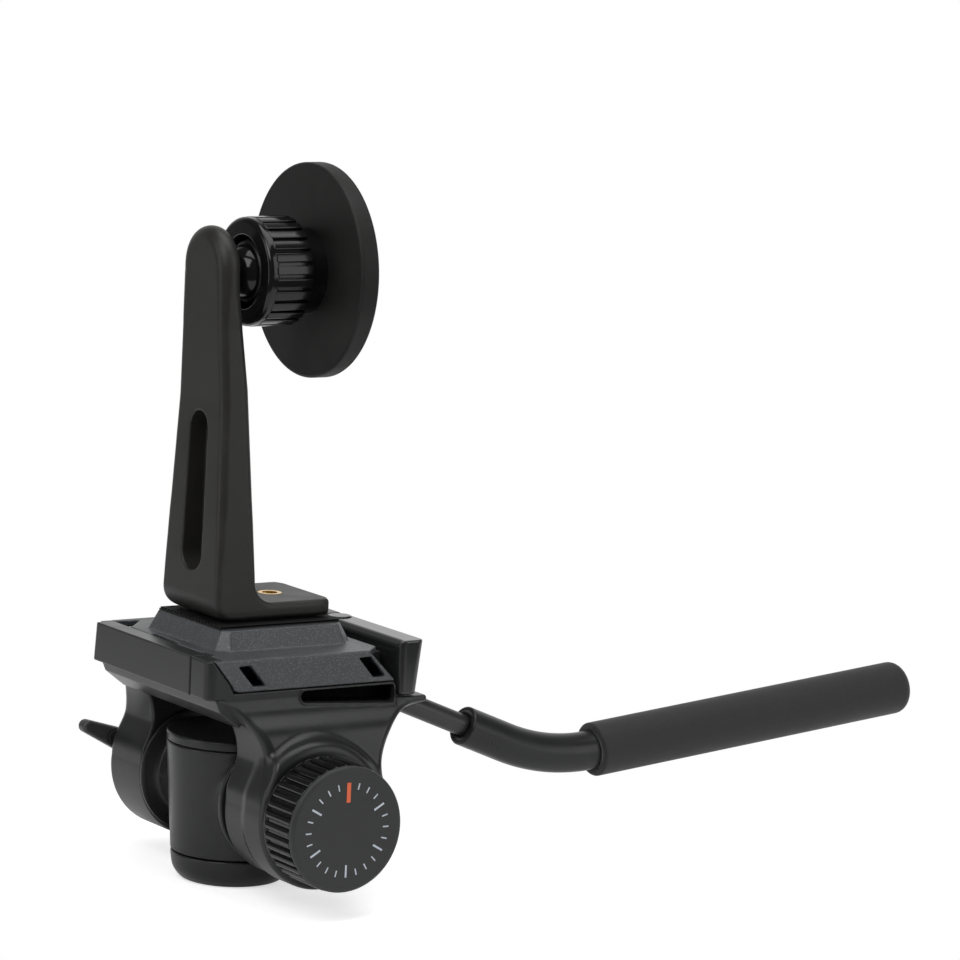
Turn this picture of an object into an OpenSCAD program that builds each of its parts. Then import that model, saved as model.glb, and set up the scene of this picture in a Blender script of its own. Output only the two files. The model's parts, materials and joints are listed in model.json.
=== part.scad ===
// A fluid video head for a tripod. An L bracket stands on its camera plate and holds a
// magnet disc on a ball joint. The origin is on the pan axis, in the face that meets the
// tripod. +Y is the front, +X is the side of the tilt lever, and sizes are in millimetres.

/* [Base] */
// Radius of the base ring
base_r = 25.3; // [24.8:0.1:26]
// Height of the base ring
base_h = 11.5; // [11:0.1:13]
// Radius of the face that meets the tripod
foot_r = 20.5; // [20:0.1:22]
// Height of the chamfer above that face
foot_h = 3.5; // [2:0.1:4.5]
// Gap between the base ring and the barrel
seam_gap = 0.5; // [0.4:0.05:0.7]
// Radius of the bore that takes the tripod screw
socket_r = 4; // [3:0.1:4.5]
// Radius of the pan spindle
spindle_r = 8; // [7.5:0.1:8.5]
// Thickness of the spindle's flange
flange_h = 3.5; // [3:0.1:4]
// Radius of the circle that the base screws stand on
base_screw_circle = 15; // [14.5:0.1:15.5]

/* [Barrel] */
// Radius of the barrel at its foot
barrel_r = 25.35; // [25:0.05:26]
// Radius of the barrel and its cap at the top
cap_r = 28.5; // [28:0.1:29]
// Height of the barrel without its cap
barrel_h = 46.2; // [45.5:0.1:47]
// Height of the cap
cap_h = 3.7; // [3:0.1:4.5]
// Radius of the trunnion flanges
trunnion_r = 25.9; // [25:0.1:26.5]
// Reach of the trunnions to each side of the pan axis
trunnion_x = 33.4; // [32.5:0.1:34.5]
// Height of the tilt axis above the tripod
tilt_z = 38.5; // [38:0.1:39]
// Wall of the tilt bushes
bush_wall = 2; // [1.5:0.1:2.5]

/* [Tilting frame] */
// Half the width of the platform
deck_x = 47.8; // [47:0.1:49]
// Front face of the platform
deck_front = 41.9; // [41:0.1:43]
// Thickness of the platform under the camera plate
deck_h = 21.7; // [21:0.1:23]
// Thickness of a cheek along the tilt axis
cheek_w = 27.5; // [27:0.1:28.5]
// Radius of the cheek's round end
lobe_r = 28.8; // [28:0.1:29.5]
// Radius of the ring behind the knob
boss_r = 33; // [32:0.1:34]
// Height of that ring above the cheek
boss_h = 4; // [3:0.1:5]
// Rear end of the shelf under the release lever
shelf_back = -61; // [-63:0.1:-60.5]
// Thickness of the shelf
shelf_h = 4; // [3.5:0.1:4.5]
// Thickness of the front jaw
jaw_t = 7.6; // [7:0.1:8]
// Height of the front jaw
jaw_h = 16.1; // [15:0.1:17]
// Side end of the jaw, where its seam shows
jaw_seam_x = -33; // [-35:0.5:-30]
// Length of the window in the side
window_l = 44.8; // [40:0.1:45]
// Height of the window at its rear
window_h = 7.3; // [6:0.1:7.5]
// Depth of the window
window_d = 9; // [6:0.5:10]

/* [Locks and levers] */
// Radius of the pan lock knob over its ribs
knob_r = 25.9; // [25:0.1:27]
// Length of the knob along the tilt axis
knob_l = 22.5; // [20:0.1:25]
// Number of ribs on the knob
knob_ribs = 36; // [30:1:44]
// Radius of the lock screw
lock_screw_r = 4; // [3.5:0.1:4.5]
// Radius of the tilt lever's hub
tilt_hub_r = 11; // [10:0.1:12]
// Length of the tilt lever's arm
tilt_arm_l = 38.5; // [35:0.5:42]
// Angle of the tilt lever above level
tilt_arm_angle = 23; // [10:1:40]
// Free end of the release lever
lever_end_x = -47.8; // [-49:0.1:-46]
// Place of the release lever's pivot across the head
lever_pivot_x = 10; // [8:0.5:11]
// Height of the release lever
lever_h = 22.5; // [21:0.1:24]
// Thickness of the release lever
lever_t = 12; // [11:0.1:12.5]

/* [Camera plate] */
// Thickness of the plate's flange
plate_flange_h = 2.7; // [2.4:0.1:3.2]
// Thickness of the plate's side skirts
skirt_t = 2.6; // [2.2:0.1:3]
// Depth of the side skirts below the plate's top
skirt_h = 13.2; // [12:0.1:13.5]
// Width of the raised block at its foot
block_foot_w = 64; // [62:0.5:66]
// Width of the raised block at its top
block_top_w = 56; // [55:0.5:58]
// Height of the raised block
block_h = 8; // [7:0.1:9]
// Thickness of the pad
pad_h = 1.3; // [1:0.1:2]
// Place of the camera screw from front to back
screw_y = -13.6; // [-15:0.1:-12]
// Radius of the camera screw
screw_r = 3.1; // [3:0.05:3.3]

/* [Bracket] */
// Height of the bracket
bracket_h = 159.5; // [155:0.5:165]
// Front face of the bracket at its foot
bracket_front = 24.8; // [24:0.1:25.5]
// Rear end of the bracket's foot
bracket_back = -31; // [-33:0.1:-30]
// Half the width of the bracket at its foot
bracket_foot_x = 22.9; // [22:0.1:24]
// Half the width of the bracket at its top
bracket_top_x = 17; // [16:0.1:18]
// Thickness of the bracket's foot
bracket_foot_h = 7.8; // [7:0.1:9]
// Width of the slot at its foot
slot_foot_w = 15.5; // [13:0.1:17]
// Width of the slot at its top
slot_top_w = 14; // [12:0.1:15]
// Length of the slot
slot_l = 65; // [60:0.5:70]
// Depth of the slot
slot_d = 8; // [6:0.5:9]

/* [Ball joint and disc] */
// Radius of the ball
ball_r = 12.7; // [12.2:0.1:13]
// Centre of the ball from front to back
ball_y = -3.5; // [-4.5:0.1:-3]
// Height of the ball below the bracket's top
ball_drop = 19; // [18:0.1:20]
// Radius of the ball's neck
ball_neck_r = 6.5; // [5.5:0.1:6.8]
// Radius of the collar nut
collar_r = 22.4; // [22:0.1:23]
// Length of the collar nut
collar_l = 21.6; // [21:0.1:22]
// Number of grooves round the collar nut
collar_grooves = 26; // [20:1:30]
// Radius of the socket's neck
socket_neck_r = 17.6; // [17:0.1:17.8]
// Length of the socket's neck
socket_neck_l = 8.5; // [8:0.1:10]
// Radius of the magnet disc
disc_r = 44; // [40:0.5:50]
// Thickness of the magnet disc
disc_t = 8.4; // [8:0.1:10]
// Thickness of the disc's rubber coat
coat_t = 1.5; // [1.2:0.1:1.8]
// Number of magnets in the disc
magnet_count = 10; // [6:1:12]

/* [Handle] */
// Place of the handle across the head
handle_x = 38; // [37:0.5:39]
// Radius of the handle's rod
rod_r = 4.75; // [4.5:0.05:5]
// Slope of the rod below level
rod_slope = 22.5; // [20:0.5:25]
// Length of the rod from the shelf to the sleeve
rod_l = 84.7; // [75:0.1:95]
// Radius of the bent sleeve
sleeve_r = 8.7; // [8:0.1:9.5]
// Radius of the sleeve's bend
bend_r = 97; // [85:1:110]
// Angle that the sleeve bends through
bend_angle = 28; // [20:1:32]
// Straight length of the sleeve before its bend
sleeve_in_l = 24.5; // [20:0.5:30]
// Radius of the foam grip
grip_r = 12; // [11:0.1:13]
// Length of the foam grip
grip_l = 172.5; // [150:0.5:200]

/* [Hidden] */
$fn = 64;

// Radial gap of a running or sliding fit
fit = 0.05;
// Gap between pieces that move past each other
gap = 0.3;
// Overlap that makes a cut pass its surface
over = 1;
// Number of sides of a nut or a hex key
hex = 6;
// Height share of the side of a hexagon to its corner
hex_flat = cos(30);
// Number of flats on a drawn arc
arc_steps = 10;

// Base: heights from the barrel's seat downwards
barrel_z = base_h + seam_gap;
washer_h = 1.2;
washer_in = 1;
flange_top = barrel_z - gap - washer_h;
flange_z = flange_top - flange_h;
flange_r = foot_r - 0.5;
base_lip_r = base_r - 1.4;
bushing_r = 8;
bushing_flange_r = 10;
bushing_flange_h = 2;
screw_head_r = 2.8;
screw_head_h = 2.4;
screw_shank_r = 1.5;
screw_sink = 3;
screw_bite = 3;
key_r = 1.4;
key_d = 1.2;
base_screw_count = 3;

// Spindle: what keeps the barrel on it
barrel_top = barrel_z + barrel_h;
spigot_h = 3.2;
nut_well_h = 12.2;
nut_floor = barrel_top - nut_well_h;
thread_r = spindle_r - 3;
top_washer_h = 1.7;
top_washer_r = 11;
top_nut_h = 5.5;
top_nut_flats = 17;
thread_spare = 0.5;
nut_room_r = 14;
screw_room_h = 11;
screw_room_r = socket_r + 1;

// Barrel
groove_h = 0.6;
groove_d = 1.2;
cap_top = barrel_top + cap_h;
cap_edge = 1;
pan_bush_h = 18;
pan_bush_r = spindle_r + 2.5;
shaft_room = 0.5;
neck_step = 0.1;
trunnion_neck_r = barrel_top - groove_h - tilt_z - neck_step;
trunnion_neck_x = cap_r + 0.5;
trunnion_flare = 2.5;
hinge_r = 14;
hinge_in = 22;
hinge_spare = 0.3;
sleeve_wall = 5;
pad_l = 3.7;
blind_x = spindle_r + 3;

// Frame: heights from the barrel's top corner, which the platform clears as it tilts
swing_gap = 1.1;
swing_r = norm([cap_r, cap_top - tilt_z]) + swing_gap;
under_z = tilt_z + swing_r;
deck_z = under_z + deck_h;
cheek_in = trunnion_x + 0.6;
cheek_out = cheek_in + cheek_w;
boss_x = cheek_out + boss_h;
boss_mid = [-9, tilt_z + 1.5];
boss_sunk = 4.5;
boss_chamfer = 1.5;
lobe_mid = [-4, tilt_z - 0.5];
ledge_in = 4;
ledge_edge = 0.5;
slope_z = tilt_z + 16;
flare_r = 11;
flare_z = under_z + 9;
front_fillet = [46, tilt_z + 21.5];
front_fillet_r = 26;
web_front = [22, tilt_z + 5.5];
web_top = under_z + 7.5;
web_bite = 0.6;
rear_arc_r = 26.8;
rear_arc = [shelf_back + 0.5, under_z - 24.5];
web_rear = rear_arc + [rear_arc_r - 1.3, 4];
shelf_tip_h = 1.7;
shelf_taper = 11;
lip_front = [36, under_z + 3.9];
lip_back = [27, under_z - 3];
lip_in = 24;
lip_slope = 2;
jaw_top = deck_z + plate_flange_h + 0.5;
jaw_z = jaw_top - jaw_h;
jaw_back = deck_front - jaw_t;
deck_back = -46;
shelf_top = under_z + shelf_h;
room_x = 38;
room_front = 26;
room_back = -38;
room_floor = deck_z - 14;
counter_r = hinge_r + 6;
counter_d = 4;
corner_r = 4;
window_front = -1.2;
window_top = deck_z - 11.4;
window_rise = 2.8;
jaw_screw_x = [-22, 6, room_x - 4];
jaw_screw_z = jaw_z + 7;
jaw_screw_r = 1.6;
jaw_screw_end = deck_front - 1.5;
jaw_head_h = 1.5;
jaw_head_r = 3;

// Rear end: release lever, fixed block and handle socket
lever_front = -48;
lever_back = lever_front - lever_t;
lever_y = lever_front - lever_t / 2;
lever_z = shelf_top + 1;
lever_top = lever_z + lever_h;
lever_foot_h = lever_z - shelf_top - gap;
lever_edge = 2;
pivot_r = 2.5;
pivot_head_r = 4;
pivot_head_h = 2.5;
pivot_bite = 3;
lever_cap_r = 5;
lever_cap_h = 1.5;
lever_cap_sink = 1;
block_in = lever_pivot_x + lever_t / 2 + 1;
tie_front = -43;
tie_h = 2;

// Locks
knob_x = -boss_x - 1;
knob_out = knob_x - knob_l;
face_l = 2.5;
face_in = 0.9;
face_spigot_r = 20;
face_spigot_l = 4;
rib_r = 1.3;
hub_r = 12;
hub_l = boss_h - 0.4;
lock_end = -spindle_r - gap - pad_l - gap;
screw_in_knob = 12;
washer_t = 1.1;
hub_x = cheek_out + washer_t + gap;
pressure_r = 19;
tilt_hub_l = 12.5;
arm_in = hub_x + 1;
arm_t = 7;
arm_root = 7;
arm_tip = 2.2;
stud_r = 3.5;
stud_nut_h = 3;
stud_nut_gap = 0.4;
stud_out = hub_x + tilt_hub_l + stud_nut_gap + stud_nut_h + gap;
stud_nut_flats = 11;

// Camera plate
plate_z = deck_z + gap;
plate_top = plate_z + plate_flange_h;
plate_front = jaw_back - 0.8;
plate_back = -41;
plate_corner = 8;
skirt_bottom = plate_top - skirt_h;
skirt_front = 39;
skirt_back = -33;
skirt_foot_front = 29.5;
skirt_foot_back = -46;
skirt_corner = 4;
strap_front = [25.4, -31];
strap_shift = 7.4;
strap_w = 4.8;
strap_top = plate_top - 2.5;
strap_bottom = skirt_bottom + 2;
block_y = -4.2;
block_corner = 5;
plate_room_r = 17;
plate_skin = 3.7;
pad_z = plate_top + block_h;
pad_front = 24;
pad_back = -32;
pad_x = 25;
pad_base = 0.5;
pad_rib_w = 1.4;
pad_rib_pitch = 2.5;
screw_head_z = pad_z - plate_skin - gap;
camera_head_r = 9;
camera_head_h = 3;
coin_w = 1.8;
coin_d = 1.2;

// Bracket
bracket_z = pad_z + pad_h;
bracket_top = bracket_z + bracket_h;
foot_top = bracket_z + bracket_foot_h;
bow = 2.2;
bow_at = [0.3, 0.56, 0.8];
waist_in = 1.2;
waist_at = [0.26, 0.44];
crown_drop = 22;
thin_drop = 46;
neck_room = 1;
heel_r = 10;
toe_r = 5;
sole_r = 2;
crook_r = 9;
insert_r = 5;
slot_z = bracket_z + 19.5;
back_root = 6;
back_mid = 9.9;
back_top = 14;
front_top = 24.5;

// Ball joint
ball_z = bracket_top - ball_drop;
shell_gap = 0.1;
shell_in = ball_r + shell_gap;
shell_out = shell_in + 1.4;
cup_r = shell_out + shell_gap;
seat_angle = 105;
collar_from = 58;
collar_to = 85;
mouth_angle = 57;
body_r = collar_r - 4.4;
collar_front = ball_y + 8.8;
collar_back = collar_front - collar_l;
collar_edge = 2.4;
groove_r = 1.1;
body_front = ball_y + 0.2;
neck_back = collar_back - socket_neck_l;
disc_back = neck_back - disc_t;
pot_r = disc_r - coat_t - 1;
pot_hub_r = 14;
pot_front = neck_back - coat_t;
pot_back = disc_back + coat_t;
magnet_r = 6;
magnet_t = 2.6;
magnet_circle = pot_r - magnet_r - 3;
hub_screw_r = 2.9;
hub_head_r = 5.5;
hub_head_h = 2.2;
hub_bite = 5;
stud_thread_r = 3;
stud_bite = 7;
mouth_room = 1.2;

// Handle: the rod's axis starts where it leaves the shelf
rod_start = [handle_x, shelf_back + 3, under_z + 1.8];
rod_in = 17;
rod_over = 20;
rod_room = 0.5;
tie_r = rod_r + 4.2;
tube_r = 6;
tube_over = 12;
grip_end = 6;
grip_edge = 5;

// Cylinder along X between two places
module x_bar(r, from, to) {
    translate([from, 0, 0]) rotate([0, 90, 0]) cylinder(h = to - from, r = r);
}

// Cylinder along Y between two places
module y_bar(r, from, to) {
    translate([0, from, 0]) rotate([-90, 0, 0]) cylinder(h = to - from, r = r);
}

// Plate along X of an outline drawn in Y and Z
module x_plate(from, to) {
    translate([from, 0, 0]) rotate([90, 0, 90]) linear_extrude(to - from) children();
}

// Plate along Y of an outline drawn in X and Z
module y_plate(from, to) {
    translate([0, to, 0]) rotate([90, 0, 0]) linear_extrude(to - from) children();
}

// Plate along Z of an outline drawn in X and Y
module z_plate(from, to) {
    translate([0, 0, from]) linear_extrude(to - from) children();
}

// Turned piece about the X axis, its outline drawn as radius and place along X
module x_turn() {
    rotate([0, 90, 0]) rotate_extrude() children();
}

// Turned piece about the Y axis through the ball
module ball_turn() {
    translate([0, ball_y, ball_z]) rotate([-90, 0, 0]) rotate_extrude() children();
}

// Ring with a square section, standing on Z
module washer(r_out, r_in, h) {
    difference() {
        cylinder(h = h, r = r_out);
        translate([0, 0, -over]) cylinder(h = h + 2 * over, r = r_in);
    }
}

// Hexagon nut, standing on Z
module nut(flats, r_in, h) {
    difference() {
        cylinder(h = h, r = flats / 2 / hex_flat, $fn = hex);
        translate([0, 0, -over]) cylinder(h = h + 2 * over, r = r_in);
    }
}

// Screw that stands on Z with its head below and a hex key's hole in the head
module key_screw(head_r, head_h, shank_r, shank_l) {
    difference() {
        union() {
            cylinder(h = head_h, r = head_r);
            cylinder(h = head_h + shank_l, r = shank_r);
        }
        translate([0, 0, -over]) cylinder(h = key_d + over, r = key_r, $fn = hex);
    }
}

// Point where the line from p touches a circle on its rear and lower side
function touch(c, r, p) = c + r * [cos(touch_angle(c, r, p)), sin(touch_angle(c, r, p))];
function touch_angle(c, r, p) = atan2(p[1] - c[1], p[0] - c[0]) + acos(r / norm(p - c));

// Points on an arc between two angles
function arc(c, r, from, to, steps) =
    [for (i = [0 : steps]) c + r * [cos(from + (to - from) * i / steps),
        sin(from + (to - from) * i / steps)]];

// Base
module base_ring() {
    color("dimgray") difference() {
        rotate_extrude() polygon([[0, 0], [foot_r, 0], [base_lip_r, foot_h],
            [base_r, base_h - foot_h], [base_r, base_h], [0, base_h]]);
        translate([0, 0, -over]) cylinder(h = base_h, r = bushing_r + fit);
        translate([0, 0, flange_z - bushing_flange_h])
            cylinder(h = base_h, r = bushing_flange_r + fit);
        translate([0, 0, flange_z]) cylinder(h = base_h, r = flange_r + fit);
        base_screw_places() {
            translate([0, 0, -over]) cylinder(h = screw_sink + over, r = screw_head_r + fit);
            cylinder(h = base_h, r = screw_shank_r + fit);
        }
    }
}

module base_screw_places() {
    for (i = [0 : base_screw_count - 1])
        rotate([0, 0, 360 / base_screw_count * i]) translate([0, base_screw_circle, 0]) children();
}

module tripod_bushing() {
    color("goldenrod") difference() {
        union() {
            cylinder(h = flange_z, r = bushing_r);
            translate([0, 0, flange_z - bushing_flange_h])
                cylinder(h = bushing_flange_h, r = bushing_flange_r);
        }
        translate([0, 0, -over]) cylinder(h = flange_z + 2 * over, r = socket_r);
    }
}

module base_screws() {
    color("silver") base_screw_places() translate([0, 0, screw_sink - screw_head_h])
        key_screw(screw_head_r, screw_head_h, screw_shank_r, flange_z - screw_sink + screw_bite);
}

module spindle() {
    color("silver") difference() {
        union() {
            translate([0, 0, flange_z]) cylinder(h = flange_h, r = flange_r);
            translate([0, 0, flange_z]) cylinder(h = nut_floor + gap - flange_z, r = spindle_r);
            cylinder_from(nut_floor + gap, thread_top(), thread_r);
        }
        translate([0, 0, flange_z - over]) cylinder(h = screw_room_h + over, r = screw_room_r);
        base_screw_places() translate([0, 0, flange_z - over])
            cylinder(h = screw_bite + over + fit, r = screw_shank_r + fit);
    }
}

module cylinder_from(from, to, r) {
    translate([0, 0, from]) cylinder(h = to - from, r = r);
}

function thread_top() = nut_floor + gap + top_washer_h + top_nut_h + thread_spare;

module thrust_washer() {
    color("ivory") translate([0, 0, flange_top])
        washer(flange_r - washer_in, spindle_r + washer_in, washer_h);
}

module spindle_washer() {
    color("silver") translate([0, 0, nut_floor + gap])
        washer(top_washer_r, thread_r + fit, top_washer_h);
}

module spindle_nut() {
    color("silver") translate([0, 0, nut_floor + gap + top_washer_h])
        nut(top_nut_flats, thread_r + fit, top_nut_h);
}

// Barrel
module barrel() {
    color("dimgray") difference() {
        union() {
            rotate_extrude() polygon([[0, barrel_z], [barrel_r, barrel_z],
                [cap_r, barrel_top - groove_h], [cap_r - groove_d, barrel_top - groove_h],
                [cap_r - groove_d, barrel_top], [0, barrel_top]]);
            translate([0, 0, tilt_z]) for (side = [-1, 1]) trunnion(side);
        }
        cylinder_from(0, barrel_z + pan_bush_h, pan_bush_r + fit);
        cylinder_from(0, barrel_top, spindle_r + shaft_room);
        cylinder_from(nut_floor, barrel_top + over, nut_room_r);
        translate([0, 0, tilt_z]) {
            x_bar(hinge_r + bush_wall, -trunnion_x - over, -hinge_in);
            x_bar(hinge_r + bush_wall, hinge_in, trunnion_x + over);
            x_bar(lock_screw_r + fit, -trunnion_x, 0);
            x_bar(stud_r + fit, blind_x, trunnion_x);
        }
    }
}

module trunnion(side) {
    x_turn() polygon([[0, 0], [trunnion_neck_r, 0], [trunnion_neck_r, side * trunnion_neck_x],
        [trunnion_r, side * (trunnion_neck_x + trunnion_flare)], [trunnion_r, side * trunnion_x],
        [0, side * trunnion_x]]);
}

module pan_bush() {
    color("burlywood") translate([0, 0, barrel_z])
        washer(pan_bush_r, spindle_r + fit, pan_bush_h);
}

module barrel_cap() {
    color("dimgray") rotate_extrude() polygon([[0, barrel_top - spigot_h],
        [nut_room_r - fit, barrel_top - spigot_h], [nut_room_r - fit, barrel_top],
        [cap_r, barrel_top], [cap_r, cap_top - cap_edge], [cap_r - cap_edge, cap_top],
        [0, cap_top]]);
}

module tilt_bush(side) {
    translate([side * (hinge_in + hinge_spare), 0, tilt_z]) rotate([0, side * 90, 0])
        washer(hinge_r + bush_wall - fit, hinge_r + fit, trunnion_x - hinge_in - 2 * hinge_spare);
}

module tilt_bush_near() {
    color("burlywood") tilt_bush(-1);
}

module tilt_bush_far() {
    color("burlywood") tilt_bush(1);
}

module brake_pad() {
    color("peru") translate([0, 0, tilt_z]) difference() {
        x_bar(lock_screw_r, -spindle_r - gap - pad_l, -spindle_r + over);
        translate([0, 0, -tilt_z]) cylinder_from(0, barrel_top, spindle_r + gap);
    }
}

module tilt_lock_stud() {
    color("silver") translate([0, 0, tilt_z]) x_bar(stud_r, blind_x + hinge_spare, stud_out);
}

module stud_nut() {
    color("silver") translate([stud_out - stud_nut_h - gap, 0, tilt_z]) rotate([0, 90, 0])
        nut(stud_nut_flats, stud_r + fit, stud_nut_h);
}

// Tilting frame
module web_outline() {
    translate(lobe_mid) circle(r = lobe_r);
    difference() {
        polygon([web_front, [lip_front[0], web_top], [deck_back, web_top], [deck_back, shelf_top],
            [shelf_back, shelf_top], [shelf_back, under_z], web_rear,
            touch(lobe_mid, lobe_r - web_bite, web_rear)]);
        translate(front_fillet) circle(r = front_fillet_r);
        translate(rear_arc) circle(r = rear_arc_r);
    }
}

// Section of a cheek, whose outer side flares out below the platform and slopes down from there
module cheek_section(side) {
    bottom = tilt_z - boss_r - over;
    ledge_x = cheek_out - ledge_in;
    difference() {
        polygon([[side * cheek_in, bottom], [side * cheek_out, bottom], [side * cheek_out, slope_z],
            [side * ledge_x, flare_z - flare_r - ledge_edge], [side * ledge_x, web_top],
            [side * cheek_in, web_top]]);
        translate([side * (deck_x + flare_r), flare_z]) circle(r = flare_r);
    }
}

module cheek(side) {
    intersection() {
        x_plate(-cheek_out, cheek_out) web_outline();
        y_plate(shelf_back - over, deck_front) cheek_section(side);
    }
}

// Ring behind the knob, with its hollow for the knob's hub
module knob_boss() {
    translate([0, boss_mid[0], boss_mid[1]]) {
        x_bar(boss_r, -boss_x + boss_chamfer, -cheek_out + boss_sunk);
        x_turn() polygon([[0, -boss_x], [boss_r - boss_chamfer, -boss_x],
            [boss_r, -boss_x + boss_chamfer], [0, -boss_x + boss_chamfer]]);
    }
}

module deck_outline() {
    polygon([[jaw_back, deck_z], [jaw_back, jaw_z], [lip_front[0] + lip_slope, jaw_z], lip_front,
        lip_back, [lip_in, under_z], [shelf_back + shelf_taper, under_z],
        [shelf_back, shelf_top - shelf_tip_h], [shelf_back, shelf_top], [deck_back, shelf_top],
        [deck_back, deck_z]]);
}

// Corner of the platform beside the jaw
module corner_outline() {
    translate([-deck_x + corner_r, deck_front - corner_r]) circle(r = corner_r);
    polygon([[-deck_x, jaw_back], [-deck_x, deck_front - corner_r],
        [-deck_x + corner_r, deck_front - corner_r], [-deck_x + corner_r, deck_front],
        [jaw_seam_x, deck_front], [jaw_seam_x, jaw_back]]);
}

// Space that a side skirt takes as it lowers onto the platform
module skirt_room(side) {
    x_plate(min(side * (deck_x - skirt_t - gap), side * (deck_x + over)),
        max(side * (deck_x - skirt_t - gap), side * (deck_x + over)))
        polygon([[skirt_foot_front + gap, skirt_bottom - gap],
            [skirt_foot_front + skirt_corner / 2 + 2 * gap, skirt_bottom + skirt_corner],
            [skirt_front + 2 * gap, plate_top], [skirt_front + 2 * gap, jaw_top + over],
            [deck_back - over, jaw_top + over], [deck_back - over, skirt_bottom - gap]]);
}

module side_window() {
    x_plate(-cheek_out, -deck_x + window_d)
        polygon([[window_front, window_top], [window_front, window_top - window_h + window_rise],
            [window_front - window_l, window_top - window_h], [window_front - window_l, window_top]]);
}

// Axis of the handle's rod, with +Z along the rod away from the head
module on_rod() {
    translate(rod_start) rotate([90 + rod_slope, 0, 0]) children();
}

module tilt_frame() {
    color("dimgray") difference() {
        union() {
            cheek(-1);
            cheek(1);
            x_plate(-deck_x, deck_x) deck_outline();
            z_plate(jaw_z, jaw_top) corner_outline();
            knob_boss();
            translate([lever_pivot_x, lever_y, shelf_top - over])
                cylinder(h = lever_foot_h + over, r = lever_t / 2);
            translate([block_in, lever_back, shelf_top - over])
                cube([deck_x - block_in, lever_t, lever_top - shelf_top + over]);
            translate([handle_x - tie_r, lever_back, under_z - tie_h])
                cube([2 * tie_r, tie_front - lever_back, shelf_h + tie_h]);
        }
        skirt_room(-1);
        skirt_room(1);
        side_window();
        translate([-room_x, room_back, room_floor])
            cube([2 * room_x, room_front - room_back, deck_h]);
        translate([0, 0, tilt_z]) {
            x_bar(hinge_r + fit, -boss_x - over, -cheek_in + over);
            x_bar(hinge_r + fit, cheek_in - over, cheek_out + over);
            x_bar(counter_r + fit, -boss_x - over, -cheek_out + counter_d);
            x_bar(counter_r + fit, cheek_out - counter_d, cheek_out + over);
        }
        for (x = jaw_screw_x) translate([x, 0, jaw_screw_z])
            y_bar(jaw_screw_r + fit, room_front - over, deck_front);
        translate([lever_pivot_x, lever_y, under_z - over])
            cylinder(h = shelf_h + lever_foot_h + 2 * over, r = pivot_r + fit);
        on_rod() translate([0, 0, -rod_in - rod_room]) cylinder(h = rod_in * 2, r = rod_r + fit);
    }
}

module front_jaw() {
    color("dimgray") difference() {
        translate([jaw_seam_x + gap, jaw_back, jaw_z])
            cube([deck_x - jaw_seam_x - gap, jaw_t, jaw_h]);
        skirt_room(1);
        for (x = jaw_screw_x) translate([x, 0, jaw_screw_z])
            y_bar(jaw_screw_r + fit, jaw_back - over, jaw_screw_end + fit);
    }
}

module jaw_screws() {
    color("silver") for (x = jaw_screw_x) translate([x, room_front - jaw_head_h, jaw_screw_z])
        rotate([-90, 0, 0])
            key_screw(jaw_head_r, jaw_head_h, jaw_screw_r, jaw_screw_end - room_front);
}

// Flanged sleeve that carries a cheek on its trunnion
module sleeve(side) {
    translate([side * (hinge_in + 2 * hinge_spare), 0, tilt_z]) rotate([0, side * 90, 0])
        washer(hinge_r, hub_bore_r(), cheek_out - hinge_in - 2 * hinge_spare);
    translate([side * (cheek_out - counter_d), 0, tilt_z]) rotate([0, side * 90, 0])
        washer(counter_r, hub_bore_r(), counter_d);
}

function hub_bore_r() = hinge_r - sleeve_wall;

module sleeve_near() {
    color("gray") sleeve(-1);
}

module sleeve_far() {
    color("gray") sleeve(1);
}

module pressure_washer() {
    color("silver") translate([cheek_out, 0, tilt_z]) rotate([0, 90, 0])
        washer(pressure_r, stud_r + gap * 2, washer_t);
}

module pivot_screw() {
    color("silver") translate([lever_pivot_x, lever_y, 0]) {
        cylinder_from(shelf_top - pivot_bite, pivot_seat() + pivot_head_h, pivot_r);
        cylinder_from(pivot_seat(), pivot_seat() + pivot_head_h, pivot_head_r);
    }
}

// Height of the pivot screw's head in the release lever
function pivot_seat() = lever_top - lever_cap_sink - gap - pivot_head_h;

// Pan lock
module lock_knob() {
    color("black") translate([0, 0, tilt_z]) difference() {
        union() {
            x_plate(knob_out + face_l, knob_x) {
                circle(r = knob_r - rib_r);
                for (i = [0 : knob_ribs - 1]) rotate(360 / knob_ribs * i)
                    translate([knob_r - rib_r, 0]) circle(r = rib_r);
            }
            x_bar(hub_r, knob_x - over, knob_x + hub_l);
        }
        x_bar(lock_screw_r + fit, knob_x - screw_in_knob - fit, knob_x + knob_l);
        x_bar(face_spigot_r + fit, knob_out, knob_out + face_l + face_spigot_l);
    }
}

module knob_face() {
    color("dimgray") translate([0, 0, tilt_z]) {
        x_turn() polygon(concat([[0, knob_out]],
            arc([knob_r - face_in - face_l, knob_out + face_l], face_l, -90, 0, arc_steps),
            [[0, knob_out + face_l]]));
        x_bar(face_spigot_r, knob_out + over, knob_out + face_l + face_spigot_l);
    }
}

module lock_screw() {
    color("silver") translate([0, 0, tilt_z])
        x_bar(lock_screw_r, knob_x - screw_in_knob, lock_end);
}

// Tilt lock
module tilt_lever() {
    color("dimgray") translate([0, 0, tilt_z]) difference() {
        union() {
            x_bar(tilt_hub_r, hub_x, hub_x + tilt_hub_l);
            x_plate(arm_in, arm_in + arm_t) rotate(tilt_arm_angle) {
                polygon([[0, -arm_root], [tilt_arm_l - arm_tip, -arm_tip],
                    [tilt_arm_l - arm_tip, arm_tip], [0, arm_root]]);
                translate([tilt_arm_l - arm_tip, 0]) circle(r = arm_tip);
            }
        }
        x_bar(stud_r + fit, hub_x - over, hub_x + tilt_hub_l + over);
    }
}

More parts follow.
